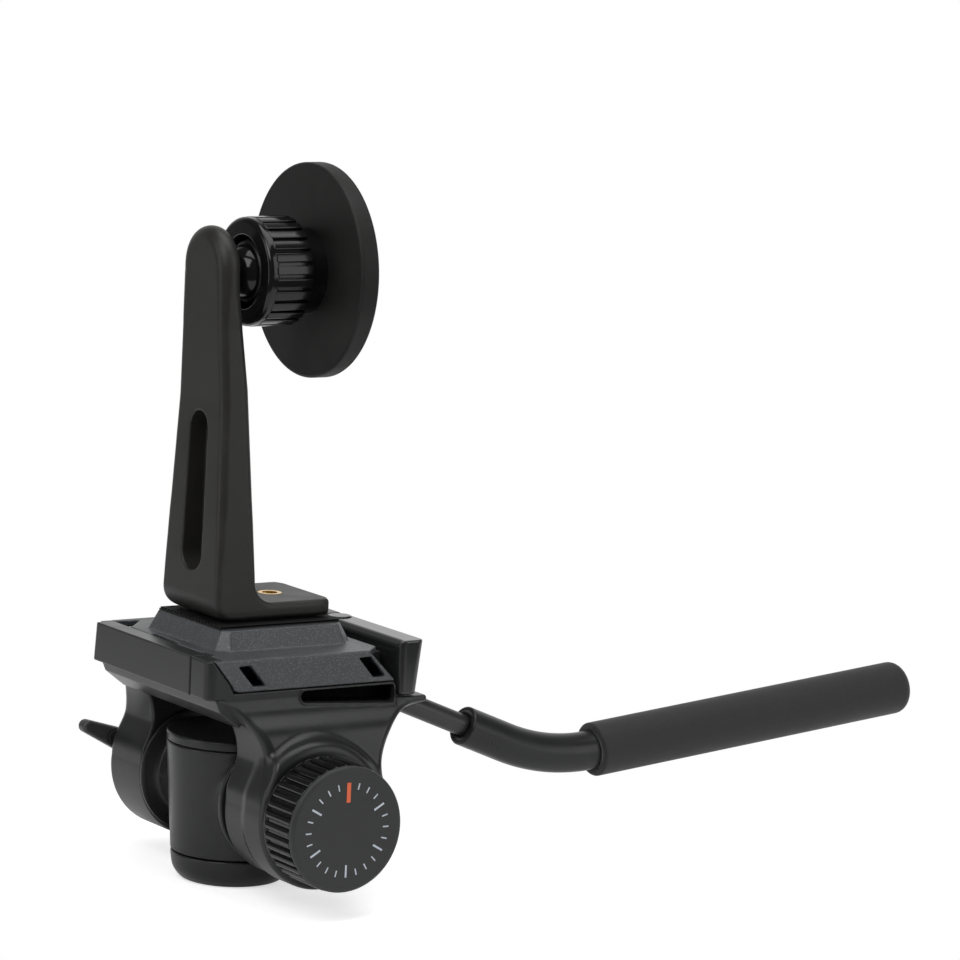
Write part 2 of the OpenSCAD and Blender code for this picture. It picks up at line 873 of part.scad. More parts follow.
// Release lever
module lever_outline() {
    translate([lever_pivot_x, lever_y]) circle(r = lever_t / 2);
    polygon([[lever_pivot_x, lever_front], [lever_end_x + lever_edge, lever_front],
        [lever_end_x, lever_front - lever_edge], [lever_end_x, lever_back + lever_edge],
        [lever_end_x + lever_edge, lever_back], [lever_pivot_x, lever_back]]);
}

module release_lever() {
    color("dimgray") difference() {
        z_plate(lever_z, lever_top) lever_outline();
        translate([lever_pivot_x, lever_y, 0]) {
            cylinder_from(lever_z - over, lever_top, pivot_r + fit);
            cylinder_from(pivot_seat() - gap, lever_top, pivot_head_r + gap);
            cylinder_from(lever_top - lever_cap_sink, lever_top + over, lever_cap_r + fit);
        }
    }
}

module lever_cap() {
    color("black") translate([lever_pivot_x, lever_y, lever_top - lever_cap_sink])
        cylinder(h = lever_cap_h, r = lever_cap_r);
}

// Camera plate
module plate_outline() {
    polygon([[-deck_x, plate_front], [deck_x, plate_front], [deck_x, skirt_back],
        [deck_x - plate_corner, plate_back], [-deck_x + plate_corner, plate_back],
        [-deck_x, skirt_back]]);
}

module strap_outline(y) {
    polygon([[y + strap_w / 2, strap_top], [y + strap_w / 2 - strap_shift, strap_bottom],
        [y - strap_w / 2 - strap_shift, strap_bottom], [y - strap_w / 2, strap_top]]);
}

module skirt_outline() {
    difference() {
        polygon([[skirt_front, plate_top],
            [skirt_foot_front + skirt_corner / 2, skirt_bottom + skirt_corner],
            [skirt_foot_front - skirt_corner / 2, skirt_bottom], [skirt_foot_back, skirt_bottom],
            [skirt_back, plate_top]]);
        for (y = strap_front) strap_outline(y);
    }
}

module skirt(side) {
    middle = side * (deck_x - skirt_t / 2);
    x_plate(middle - skirt_t / 2, middle + skirt_t / 2) skirt_outline();
}

// Section of the raised block between two widths
module block_section(foot, top) {
    polygon([[-foot / 2, plate_top - over], [foot / 2, plate_top - over], [foot / 2, plate_top],
        [top / 2, pad_z], [-top / 2, pad_z], [-foot / 2, plate_top]]);
}

module block_slab(angle, foot, top) {
    rotate([0, 0, angle]) y_plate(-block_foot_w, block_foot_w) block_section(foot, top);
}

// Raised block with sloping sides and bevelled corners
module raised_block() {
    foot_across = (block_foot_w - block_corner) * sqrt(2);
    top_across = (block_top_w - block_corner) * sqrt(2);
    translate([0, block_y, 0]) intersection() {
        block_slab(0, block_foot_w, block_top_w);
        block_slab(90, block_foot_w, block_top_w);
        block_slab(45, foot_across, top_across);
        block_slab(-45, foot_across, top_across);
    }
}

module camera_plate() {
    color("gray") difference() {
        union() {
            z_plate(plate_z, plate_top) plate_outline();
            raised_block();
            skirt(-1);
            skirt(1);
        }
        translate([0, screw_y, 0]) {
            cylinder_from(plate_z - over, pad_z - plate_skin, plate_room_r);
            cylinder_from(plate_z, pad_z + over, screw_r + gap);
        }
    }
}

module plate_pad() {
    color("black") difference() {
        union() {
            translate([-pad_x, pad_back, pad_z]) cube([2 * pad_x, pad_front - pad_back, pad_base]);
            for (x = [-pad_x : pad_rib_pitch : pad_x - pad_rib_w]) translate([x, pad_back, pad_z])
                cube([pad_rib_w, pad_front - pad_back, pad_h]);
        }
        translate([0, screw_y, 0]) cylinder_from(pad_z - over, bracket_z + over, insert_r);
    }
}

module camera_screw() {
    color("silver") translate([0, screw_y, 0]) difference() {
        union() {
            cylinder_from(screw_head_z - camera_head_h, screw_head_z, camera_head_r);
            cylinder_from(screw_head_z - camera_head_h, foot_top - over, screw_r);
        }
        translate([-camera_head_r - over, -coin_w / 2, screw_head_z - camera_head_h - over])
            cube([2 * camera_head_r + 2 * over, coin_w, coin_d + over]);
    }
}

// Bracket
module bracket_side() {
    offset(r = sole_r) offset(delta = -sole_r) polygon(concat(
        [[bracket_back, bracket_z]],
        arc([bracket_front - heel_r, bracket_z + heel_r], heel_r, -90, 0, arc_steps),
        [[bracket_front - bow / 2, bracket_z + bracket_h * bow_at[0]],
        [bracket_front - bow, bracket_z + bracket_h * bow_at[1]],
        [bracket_front - bow / 2, bracket_z + bracket_h * bow_at[2]],
        [front_top, bracket_top], [back_top, bracket_top],
        [back_top, ball_z - ball_neck_r - neck_room], [back_mid, ball_z - thin_drop]],
        arc([back_root - crook_r, foot_top + crook_r], crook_r, 0, -90, arc_steps),
        [[bracket_back, foot_top]]));
}

module bracket_front_view() {
    low = bracket_z + bracket_h * waist_at[0];
    mid = bracket_z + bracket_h * waist_at[1];
    low_x = bracket_foot_x - waist_in;
    mid_x = (bracket_foot_x + bracket_top_x) / 2;
    crown_z = ball_z - crown_drop;
    offset(r = toe_r) offset(delta = -toe_r) polygon([
        [-bracket_foot_x, bracket_z], [bracket_foot_x, bracket_z], [low_x, low], [mid_x, mid],
        [bracket_top_x, crown_z], [bracket_top_x, ball_z], [-bracket_top_x, ball_z],
        [-bracket_top_x, crown_z], [-mid_x, mid], [-low_x, low]]);
    translate([0, bracket_top - bracket_top_x]) circle(r = bracket_top_x);
    translate([-bracket_top_x, crown_z])
        square([2 * bracket_top_x, bracket_top - bracket_top_x - crown_z]);
}

module slot_outline() {
    translate([0, slot_z + slot_foot_w / 2]) circle(r = slot_foot_w / 2);
    translate([0, slot_z + slot_l - slot_top_w / 2]) circle(r = slot_top_w / 2);
    polygon([[-slot_foot_w / 2, slot_z + slot_foot_w / 2], [slot_foot_w / 2, slot_z + slot_foot_w / 2],
        [slot_top_w / 2, slot_z + slot_l - slot_top_w / 2],
        [-slot_top_w / 2, slot_z + slot_l - slot_top_w / 2]]);
}

module bracket() {
    color("dimgray") difference() {
        intersection() {
            x_plate(-bracket_foot_x - over, bracket_foot_x + over) bracket_side();
            y_plate(bracket_back - over, bracket_front + over) bracket_front_view();
        }
        y_plate(bracket_front - bow - slot_d, bracket_front + over) slot_outline();
        translate([0, screw_y, 0]) cylinder_from(bracket_z - over, foot_top + over, insert_r + fit);
        translate([0, 0, ball_z]) y_bar(stud_thread_r + fit, 0, back_top + stud_bite + fit);
    }
}

module bracket_insert() {
    color("goldenrod") translate([0, screw_y, bracket_z])
        washer(insert_r, screw_r + shell_gap, bracket_foot_h);
}

// Ball joint
module ball_stud() {
    color("black") {
        translate([0, ball_y, ball_z]) sphere(r = ball_r);
        translate([0, 0, ball_z]) {
            y_bar(ball_neck_r, ball_y, back_top);
            y_bar(stud_thread_r, ball_y, back_top + stud_bite);
        }
    }
}

// Half ring between two radii and two angles from the ball's neck
module shell_section(r_in, r_out, from, to) {
    reach = 2 * r_out;
    middle = (from + to) / 2;
    intersection() {
        difference() {
            circle(r = r_out);
            circle(r = r_in);
        }
        polygon([[0, 0], reach * [sin(from), cos(from)], reach * [sin(middle), cos(middle)],
            reach * [sin(to), cos(to)]]);
    }
}

module rear_seat() {
    color("ivory") ball_turn() shell_section(shell_in, shell_out, seat_angle, 180);
}

module split_collar() {
    color("ivory") ball_turn() shell_section(shell_in, shell_out, collar_from, collar_to);
}

// Half section of the cup that the liners sit in
module cup_section() {
    intersection() {
        circle(r = cup_r);
        translate([0, -cup_r]) square([cup_r, 2 * cup_r]);
    }
}

module socket_body() {
    color("black") ball_turn() difference() {
        polygon([[0, neck_back - ball_y], [socket_neck_r, neck_back - ball_y],
            [socket_neck_r, collar_back + over - ball_y], [body_r, collar_back + over - ball_y],
            [body_r, body_front - ball_y], [0, body_front - ball_y]]);
        cup_section();
        translate([0, neck_back - ball_y - over]) square([hub_screw_r + fit, hub_bite + over + fit]);
    }
}

module collar_nut() {
    mouth_r = cup_r * sin(mouth_angle);
    mouth = collar_front - ball_y;
    back = collar_back - ball_y;
    color("black") difference() {
        ball_turn() difference() {
            polygon([[body_r + fit, back], [collar_r, back], [collar_r, mouth - collar_edge],
                [collar_r - collar_edge, mouth], [mouth_r + mouth_room, mouth],
                [mouth_r, mouth - mouth_room], [mouth_r, body_front + gap - ball_y],
                [body_r + fit, body_front + gap - ball_y]]);
            cup_section();
        }
        for (i = [0 : collar_grooves - 1]) translate([0, 0, ball_z])
            rotate([0, 360 / collar_grooves * i, 0]) translate([collar_r + groove_r / 2, 0, 0])
                y_bar(groove_r, collar_back - over, collar_front + over);
    }
}

module magnet_cover() {
    color("black") translate([0, 0, ball_z]) difference() {
        y_bar(disc_r, disc_back, neck_back);
        y_bar(pot_r, pot_back, pot_front);
        y_bar(pot_hub_r, pot_back, neck_back + over);
    }
}

module magnet_places() {
    for (i = [0 : magnet_count - 1]) rotate([0, 360 / magnet_count * i, 0])
        translate([magnet_circle, 0, 0]) children();
}

module magnet_pot() {
    color("silver") translate([0, 0, ball_z]) difference() {
        union() {
            y_bar(pot_r, pot_back, pot_front);
            y_bar(pot_hub_r, pot_back, neck_back);
        }
        magnet_places() y_bar(magnet_r + fit, pot_back - over, pot_back + magnet_t);
        y_bar(hub_screw_r + fit, pot_back - over, neck_back + over);
        y_bar(hub_head_r + fit, pot_back - over, pot_back + hub_head_h);
    }
}

module magnets() {
    color("lightgray") translate([0, 0, ball_z]) magnet_places()
        y_bar(magnet_r, pot_back, pot_back + magnet_t);
}

module hub_screw() {
    color("silver") translate([0, pot_back, ball_z]) rotate([-90, 0, 0])
        key_screw(hub_head_r, hub_head_h, hub_screw_r, neck_back - pot_back + hub_bite - hub_head_h);
}

// Handle
module handle_rod() {
    color("dimgray") on_rod() translate([0, 0, -rod_in])
        cylinder(h = rod_in + rod_l + rod_over, r = rod_r);
}

// End of the sleeve's straight part, where its bend starts
module on_bend() {
    on_rod() translate([0, 0, rod_l + sleeve_in_l]) children();
}

// End of the bend, with +Z along the grip
module on_grip() {
    on_bend() translate([0, bend_r, 0]) rotate([-bend_angle, 0, 0]) translate([0, -bend_r, 0])
        children();
}

module handle_sleeve() {
    color("dimgray") difference() {
        union() {
            on_rod() translate([0, 0, rod_l]) cylinder(h = sleeve_in_l, r = sleeve_r);
            on_bend() translate([0, bend_r, 0]) rotate([0, -90, 0]) rotate([0, 0, -90])
                rotate_extrude(angle = bend_angle) translate([bend_r, 0]) circle(r = sleeve_r);
        }
        on_rod() cylinder(h = rod_l + rod_over + fit, r = rod_r + fit);
        on_grip() translate([0, 0, -tube_over - fit]) cylinder(h = tube_over * 2, r = tube_r + fit);
    }
}

module grip_tube() {
    color("silver") on_grip() translate([0, 0, -tube_over])
        cylinder(h = tube_over + grip_l - grip_end, r = tube_r);
}

module foam_grip() {
    color("black") on_grip() difference() {
        rotate_extrude() polygon(concat([[0, 0], [grip_r - over, 0], [grip_r, over]],
            arc([grip_r - grip_edge, grip_l - grip_edge], grip_edge, 0, 90, arc_steps), [[0, grip_l]]));
        translate([0, 0, -over]) cylinder(h = grip_l - grip_end + over + fit, r = tube_r + fit);
    }
}

base_ring();
tripod_bushing();
base_screws();
spindle();
thrust_washer();
spindle_washer();
spindle_nut();
barrel();
pan_bush();
barrel_cap();
tilt_bush_near();
tilt_bush_far();
brake_pad();
tilt_lock_stud();
stud_nut();
tilt_frame();
front_jaw();
jaw_screws();
sleeve_near();
sleeve_far();
pressure_washer();
pivot_screw();
lock_knob();
knob_face();
lock_screw();
tilt_lever();
release_lever();
lever_cap();
camera_plate();
plate_pad();
bracket();
bracket_insert();
ball_stud();
camera_screw();
rear_seat();
split_collar();
socket_body();
magnet_pot();
magnets();
magnet_cover();
hub_screw();
collar_nut();
handle_rod();
handle_sleeve();
grip_tube();
foam_grip();
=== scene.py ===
"""Fluid video head with an L bracket and a magnet disc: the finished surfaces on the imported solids.

Sizes here are in millimetres, as in the part's own drawing, and become metres as each mesh is made.
"""
import json
from math import acos, asin, atan2, copysign, cos, degrees, dist, hypot, pi, radians, sin, sqrt
from math import tan, tau
import bpy
import numpy as np
from mathutils import Matrix, Vector

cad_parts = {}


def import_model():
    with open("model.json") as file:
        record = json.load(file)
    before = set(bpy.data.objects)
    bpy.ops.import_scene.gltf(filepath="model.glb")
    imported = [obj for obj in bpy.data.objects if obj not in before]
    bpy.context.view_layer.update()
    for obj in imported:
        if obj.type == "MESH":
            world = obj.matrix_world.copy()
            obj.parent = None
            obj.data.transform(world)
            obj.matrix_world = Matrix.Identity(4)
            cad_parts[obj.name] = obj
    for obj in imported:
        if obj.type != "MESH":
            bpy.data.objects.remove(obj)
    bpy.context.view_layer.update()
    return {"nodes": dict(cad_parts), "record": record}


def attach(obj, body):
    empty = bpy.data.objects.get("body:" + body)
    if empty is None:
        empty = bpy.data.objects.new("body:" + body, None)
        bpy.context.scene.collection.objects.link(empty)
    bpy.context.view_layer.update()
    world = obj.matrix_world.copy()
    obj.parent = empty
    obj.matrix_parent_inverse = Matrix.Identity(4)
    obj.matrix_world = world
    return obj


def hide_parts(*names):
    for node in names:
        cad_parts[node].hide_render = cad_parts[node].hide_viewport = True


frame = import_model()
MM = 0.001


# Nodes and shader groups

def add(tree, kind, inputs=None, family="ShaderNode", **settings):
    """New node of a family, with its settings and with its inputs as values or links."""
    made = tree.nodes.new(family + kind)
    for name, value in settings.items():
        setattr(made, name, value)
    for name, value in (inputs or {}).items():
        if isinstance(value, bpy.types.NodeSocket):
            tree.links.new(value, made.inputs[name])
        else:
            made.inputs[name].default_value = value
    return made


def maths(tree, operation, a, b, **settings):
    """One operation on two values."""
    return add(tree, "Math", {0: a, 1: b}, operation=operation, **settings).outputs[0]


def vector_maths(tree, operation, a, b=(0.0, 0.0, 0.0)):
    """Outputs of one operation on two vectors."""
    return add(tree, "VectorMath", {0: a, 1: b}, operation=operation).outputs


def ranged(tree, value, low, high, start=0.0, end=1.0):
    """A value's span from low to high laid over another span and held at its ends."""
    return add(tree, "MapRange", {
        "Value": value, "From Min": low, "From Max": high, "To Min": start, "To Max": end,
    }).outputs[0]


def place_on_piece(tree):
    """The piece's own coordinates."""
    return add(tree, "TexCoord").outputs["Object"]


def noise(tree, place, scale, detail, **values):
    """Noise of a scale and a detail."""
    return add(tree, "TexNoise", {"Vector": place, "Scale": scale, "Detail": detail,
                                  **values}).outputs["Fac"]


def new_group(name, kind, inputs, outputs):
    """Node group with named sockets: inputs as (name, type, value), outputs as (name, type)."""
    tree = bpy.data.node_groups.new(name, kind + "NodeTree")
    for label, socket, value in inputs:
        made = tree.interface.new_socket(label, in_out="INPUT", socket_type="NodeSocket" + socket)
        if value is not None:
            made.default_value = value
    for label, socket in outputs:
        tree.interface.new_socket(label, in_out="OUTPUT", socket_type="NodeSocket" + socket)
    return tree, tree.nodes.new("NodeGroupInput").outputs, tree.nodes.new("NodeGroupOutput").inputs


def rubbed_edge_and_glint_group():
    """Mask of rubbed edges that also carry a painted edge highlight: where the rounded normal leaves
    the true one, broken up by a noise.
    """
    tree, given, out = new_group("rubbed edge and glint", "Shader", [
        ("Width", "Float", 0.0008), ("Amount", "Float", 1.0), ("Patch Scale", "Float", 160.0)],
        [("Mask", "Float")])
    bevel = add(tree, "Bevel", {"Radius": given["Width"]}, samples=4)
    true = add(tree, "NewGeometry")
    turn = vector_maths(tree, "DOT_PRODUCT", bevel.outputs[0], true.outputs["Normal"])["Value"]
    patch = noise(tree, place_on_piece(tree), given["Patch Scale"], 4.0)
    some = maths(tree, "MULTIPLY", ranged(tree, turn, 0.99, 0.80), ranged(tree, patch, 0.38, 0.62))
    tree.links.new(maths(tree, "MULTIPLY", some, given["Amount"], use_clamp=True), out["Mask"])
    return tree


def moulded_skin_group():
    """Fine grain of a moulded or painted skin, with a slow drift of its tone and gloss."""
    tree, given, out = new_group("moulded skin", "Shader", [
        ("Grain Scale", "Float", 2400.0), ("Drift Scale", "Float", 45.0),
        ("Gloss Low", "Float", 0.35), ("Gloss High", "Float", 0.5)],
        [("Height", "Float"), ("Tone", "Float"), ("Roughness", "Float")])
    place = place_on_piece(tree)
    grain = noise(tree, place, given["Grain Scale"], 3.0, Roughness=0.6)
    drift = noise(tree, place, given["Drift Scale"], 5.0, Roughness=0.65, Distortion=0.4)
    gloss = ranged(tree, drift, 0.32, 0.68, given["Gloss Low"], given["Gloss High"])
    tree.links.new(grain, out["Height"])
    tree.links.new(ranged(tree, drift, 0.3, 0.7), out["Tone"])
    tree.links.new(gloss, out["Roughness"])
    return tree


def speckle_group():
    """Light specks in a coarse moulded skin, as raised grain catches the light."""
    tree, given, out = new_group("speckle", "Shader", [
        ("Scale", "Float", 1500.0), ("Share", "Float", 0.4)], [("Mask", "Float")])
    cell = add(tree, "TexVoronoi", {"Vector": place_on_piece(tree), "Scale": given["Scale"]},
               feature="F1")
    near = ranged(tree, cell.outputs["Distance"], 0.35, 0.1)
    tree.links.new(maths(tree, "MULTIPLY", near, given["Share"], use_clamp=True), out["Mask"])
    return tree


def turned_marks_group():
    """Fine lines that a lathe or a drawing die leaves, stretched across the given direction."""
    tree, given, out = new_group("turned marks", "Shader", [
        ("Stretch", "Vector", (1.0, 1.0, 1.0)), ("Scale", "Float", 900.0)],
        [("Height", "Float")])
    laid = vector_maths(tree, "MULTIPLY", place_on_piece(tree), given["Stretch"])[0]
    tree.links.new(noise(tree, laid, given["Scale"], 3.0), out["Height"])
    return tree


RUBBED_EDGE_AND_GLINT = rubbed_edge_and_glint_group()
MOULDED_SKIN = moulded_skin_group()
SPECKLE = speckle_group()
TURNED_MARKS = turned_marks_group()


# Materials

def shader(name, **fixed):
    """Material with one surface shader, its uniform values set on the shader's own sockets."""
    made = bpy.data.materials.new(name)
    made.use_nodes = True
    tree = made.node_tree
    body = tree.nodes["Principled BSDF"]
    for label, value in fixed.items():
        body.inputs[label.replace("_", " ")].default_value = value
    return made, tree, body


def grouped(tree, group, values):
    """Outputs of a shader group placed in a material with its own values."""
    return add(tree, "Group", values, node_tree=group).outputs


def grey(value):
    return (value, value, value)


def mixed(tree, mask, dark, light):
    """Colour between two, by a mask."""
    colours = [v if isinstance(v, bpy.types.NodeSocket) else (*v, 1.0) for v in (dark, light)]
    return add(tree, "Mix", {0: mask, 6: colours[0], 7: colours[1]},
               data_type="RGBA").outputs[2]


def moulded(name, dark, light, rubbed_and_glint_tone, gloss, grain, depth, rubbed_and_glint_share=0.35, specular=0.5, specks=None,
            marks=None, strength=0.5, **fixed):
    """Skin of two close tones, its edges lightened partly by rubbing and partly by a painted edge
    highlight, over a relief of a depth in metres.

    The specks are their scale, share and tone; the marks, in place of the grain, are the stretch
    and scale of working lines.
    """
    made, tree, body = shader(name, Specular_IOR_Level=specular, **fixed)
    skin = grouped(tree, MOULDED_SKIN, {
        "Grain Scale": grain, "Gloss Low": gloss[0], "Gloss High": gloss[1]})
    height = skin["Height"]
    colour = mixed(tree, skin["Tone"], dark, light)
    if marks:
        height = grouped(tree, TURNED_MARKS, {"Stretch": marks[0], "Scale": marks[1]})["Height"]
    if specks:
        speck = grouped(tree, SPECKLE, {"Scale": specks[0], "Share": specks[1]})
        colour = mixed(tree, speck["Mask"], colour, specks[2])
    # Edges lightened: partly rubbing, partly a painted edge highlight.
    if rubbed_and_glint_tone:
        edge = grouped(tree, RUBBED_EDGE_AND_GLINT, {"Amount": rubbed_and_glint_share})
        colour = mixed(tree, edge["Mask"], colour, rubbed_and_glint_tone)
    relief = add(tree, "Bump", {"Height": height, "Distance": depth, "Strength": strength})
    tree.links.new(colour, body.inputs["Base Color"])
    tree.links.new(skin["Roughness"], body.inputs["Roughness"])
    tree.links.new(relief.outputs[0], body.inputs["Normal"])
    return made


def black_plastic():
    # Its pale edge tone is partly rubbing and partly a painted edge highlight.
    return moulded("black plastic", (0.0125, 0.0130, 0.0128), (0.0165, 0.0172, 0.0169),
                   (0.10, 0.103, 0.10), (0.27, 0.35), 2600.0, 0.000015, 0.5, 0.3)


def grained_plastic():
    """Lighter, coarser skin of the camera plate, with pale specks."""
    return moulded("grained plastic", (0.038, 0.041, 0.0435), (0.048, 0.052, 0.055),
                   (0.13, 0.137, 0.14), (0.36, 0.44), 1700.0, 0.00016, 0.5,
                   specks=(1300.0, 0.85, (0.16, 0.17, 0.178)), strength=0.7)


def bracket_plastic():
    return moulded("bracket plastic", (0.0150, 0.0142, 0.0134), (0.0195, 0.0186, 0.0176),
                   (0.07, 0.068, 0.064), (0.38, 0.48), 2100.0, 0.00008, specular=0.32)


def gloss_black():
    return moulded("gloss black", (0.004, 0.004, 0.0045), (0.006, 0.006, 0.0065),
                   (0.02, 0.02, 0.022), (0.10, 0.17), 900.0, 0.00002, 0.2, 0.32)


def face_black():
    return moulded("face black", (0.0195, 0.0205, 0.0200), (0.0235, 0.0245, 0.0240),
                   grey(0.05), (0.46, 0.54), 3000.0, 0.00005, 0.25, 0.35)


def dial_paint(name, colour, pale):
    return moulded(name, colour, pale, pale, (0.5, 0.6), 2600.0, 0.00003, 0.1)


def liner():
    return moulded("liner", grey(0.010), grey(0.014), grey(0.04), (0.4, 0.5), 2200.0, 0.00005)


def deep_shade():
    """Almost black matte skin painted on as the shade of the deep pockets."""
    return moulded("deep shade", grey(0.0015), grey(0.0025), grey(0.004), (0.7, 0.85), 2400.0,
                   0.00008, 0.1, 0.1)


def lever_plastic():
    """Smoother skin of the release lever, whose broad top shines."""
    return moulded("lever plastic", (0.013, 0.0135, 0.0135), (0.017, 0.0178, 0.0175),
                   (0.07, 0.073, 0.072), (0.12, 0.17), 2400.0, 0.000002, 0.3)


def arm_plastic_painted_light():
    """Skin of the tilt lever, a separate moulding, painted paler than the other black plastic to
    stand in for the light that its arm catches.
    """
    return moulded("arm plastic painted light", (0.030, 0.031, 0.030), (0.037, 0.0385, 0.037),
                   (0.10, 0.103, 0.10), (0.34, 0.42), 2600.0, 0.00002, 0.4, 0.4)


def rubber_pad():
    return moulded("rubber pad", grey(0.008), grey(0.012), grey(0.03), (0.6, 0.75), 2400.0,
                   0.00010, specular=0.3)


def rubber_coat():
    return moulded("rubber coat", (0.0062, 0.0058, 0.0055), (0.0088, 0.0082, 0.0078),
                   (0.035, 0.034, 0.033), (0.50, 0.62), 1900.0, 0.00009, 0.3, 0.3)


def foam():
    """Close celled foam: small open cells in a dark skin, the shade in the cells painted as darker
    specks.
    """
    return moulded("foam", (0.014, 0.0145, 0.014), (0.02, 0.0205, 0.02), None, (0.58, 0.7),
                   1300.0, 0.00018, specular=0.3, specks=(1100.0, 1.0, grey(0.008)),
                   strength=0.6, Sheen_Weight=0.15, Sheen_Roughness=0.5)


def metal(name, dark, light, gloss, stretch):
    """Bare metal with fine working lines and a slow drift of its tone."""
    return moulded(name, dark, light, None, gloss, 2400.0, 0.00003, marks=(stretch, 900.0),
                   Metallic=1.0)


def brass():
    return metal("brass", (0.62, 0.38, 0.10), (0.78, 0.50, 0.16), (0.18, 0.3), (0.2, 0.2, 1.0))


def bronze():
    return metal("bronze", (0.42, 0.25, 0.12), (0.50, 0.31, 0.16), (0.35, 0.5), (0.3, 1.0, 1.0))


def steel():
    return metal("steel", (0.42, 0.42, 0.42), (0.55, 0.55, 0.54), (0.24, 0.36), (0.2, 0.2, 1.0))


def alloy():
    return metal("alloy", (0.40, 0.40, 0.41), (0.50, 0.50, 0.51), (0.35, 0.48), (1.0, 0.2, 0.2))


def magnet_nickel():
    return metal("magnet nickel", (0.5, 0.49, 0.46), (0.6, 0.58, 0.55), (0.16, 0.26),
                 (1.0, 0.1, 1.0))


def black_metal():
    """Painted tube: a satin black coat with faint lines along it."""
    return moulded("black metal", (0.015, 0.0155, 0.015), (0.02, 0.0205, 0.02),
                   (0.07, 0.07, 0.068), (0.28, 0.38), 2400.0, 0.00004, 0.3,
                   marks=((1.0, 0.15, 0.6), 1400.0))


FINISHES = dict(
    black_plastic=black_plastic(), grained_plastic=grained_plastic(),
    bracket_plastic=bracket_plastic(), gloss_black=gloss_black(), face_black=face_black(),
    liner=liner(), rubber_pad=rubber_pad(), rubber_coat=rubber_coat(), foam=foam(),
    brass=brass(), bronze=bronze(), steel=steel(), alloy=alloy(), black_metal=black_metal(),
    magnet_nickel=magnet_nickel())


# Making pieces

def in_scene(name, data):
    """New object in the scene."""
    made = bpy.data.objects.new(name, data)
    bpy.context.scene.collection.objects.link(made)
    return made


def body_of(node):
    """Name of the body that a node rides on."""
    bodies = frame["record"]["behaviour"]["bodies"]
    return next(name for name, members in bodies.items() if node in members)


def keep(mesh, name, slot, node, replaced=True, material=None):
    """The mesh becomes a finished piece on the node's body."""
    mesh.materials.clear()
    mesh.materials.append(material or FINISHES[slot])
    piece = in_scene(name, mesh)
    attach(piece, body_of(node))
    if replaced:
        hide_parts(node)


def mesh_of(name, points, faces, smooth=True):
    """Mesh from points in millimetres."""
    made = bpy.data.meshes.new(name)
    made.from_pydata(np.asarray(points, float) * MM, [], faces)
    made.validate()
    made.update()
    made.polygons.foreach_set("use_smooth", [smooth] * len(made.polygons))
    return made


def plain(name, mesh, kind, settings, inputs=None):
    """Plain mesh after one modifier, with its settings and its node inputs."""
    carrier = in_scene(name, mesh)
    modifier = carrier.modifiers.new("finish", kind)
    for label, value in settings.items():
        setattr(modifier, label, value)
    for label, value in (inputs or {}).items():
        modifier[label] = value
    done = bpy.data.meshes.new_from_object(
        carrier.evaluated_get(bpy.context.evaluated_depsgraph_get()))
    bpy.data.objects.remove(carrier)
    bpy.data.meshes.remove(mesh)
    done.name = name
    return done


def both(a, b, r):
    """What two forms share, its new edge rounded by r."""
    u = np.maximum(a + r, 0)
    v = np.maximum(b + r, 0)
    return np.minimum(np.maximum(a, b), -r) + np.sqrt(u * u + v * v)


def either(a, b, r):
    """Two forms as one, the corner between them filled by r."""
    return -both(-a, -b, r)


def less(a, b, r):
    """The first form without the second, its new edge rounded by r."""
    return both(a, -b, r)


def cut(body, hole, end, r):
    """The body without a hole that goes as far as an end, the hole's rim rounded by r."""
    return less(body, np.maximum(hole, end), r)


def disc(u, v, centre, r):
    """Distance from a circle."""
    return np.hypot(u - centre[0], v - centre[1]) - r


def slab(u, low, high):
    """Distance from the space between two planes."""
    return np.maximum(low - u, u - high)


def shape(u, v, corners, r=0.0):
    """Distance from an outline drawn by its corners; r is a rim that is added round it."""
    far = np.full(np.broadcast(u, v).shape, 1e9)
    inside = np.zeros(far.shape, bool)
    for (au, av), (bu, bv) in zip(corners, corners[1:] + corners[:1]):
        du, dv = bu - au, bv - av
        pu, pv = u - au, v - av
        t = np.clip((pu * du + pv * dv) / (du * du + dv * dv), 0, 1)
        far = np.minimum(far, (pu - t * du) ** 2 + (pv - t * dv) ** 2)
        crosses = (av > v) != (bv > v)
        with np.errstate(divide="ignore", invalid="ignore"):
            left = pu < pv * du / np.where(dv == 0, 1e-12, dv)
        inside ^= crosses & left
    return np.where(inside, -1, 1) * np.sqrt(far) - r


def oblong(u, v, low, high):
    """Distance from an oblong between two opposite corners."""
    (a, b), (c, d) = low, high
    return shape(u, v, [(a, b), (c, b), (c, d), (a, d)])


def grid(low, high, step):
    """Coordinates of a block of space, ready to be combined, and where it starts with its step."""
    x, y, z = (np.arange(a - 2 * step, b + 2.5 * step, step) for a, b in zip(low, high))
    start = np.array([x[0], y[0], z[0]])
    return x[:, None, None], y[None, :, None], z[None, None, :], (start, step)


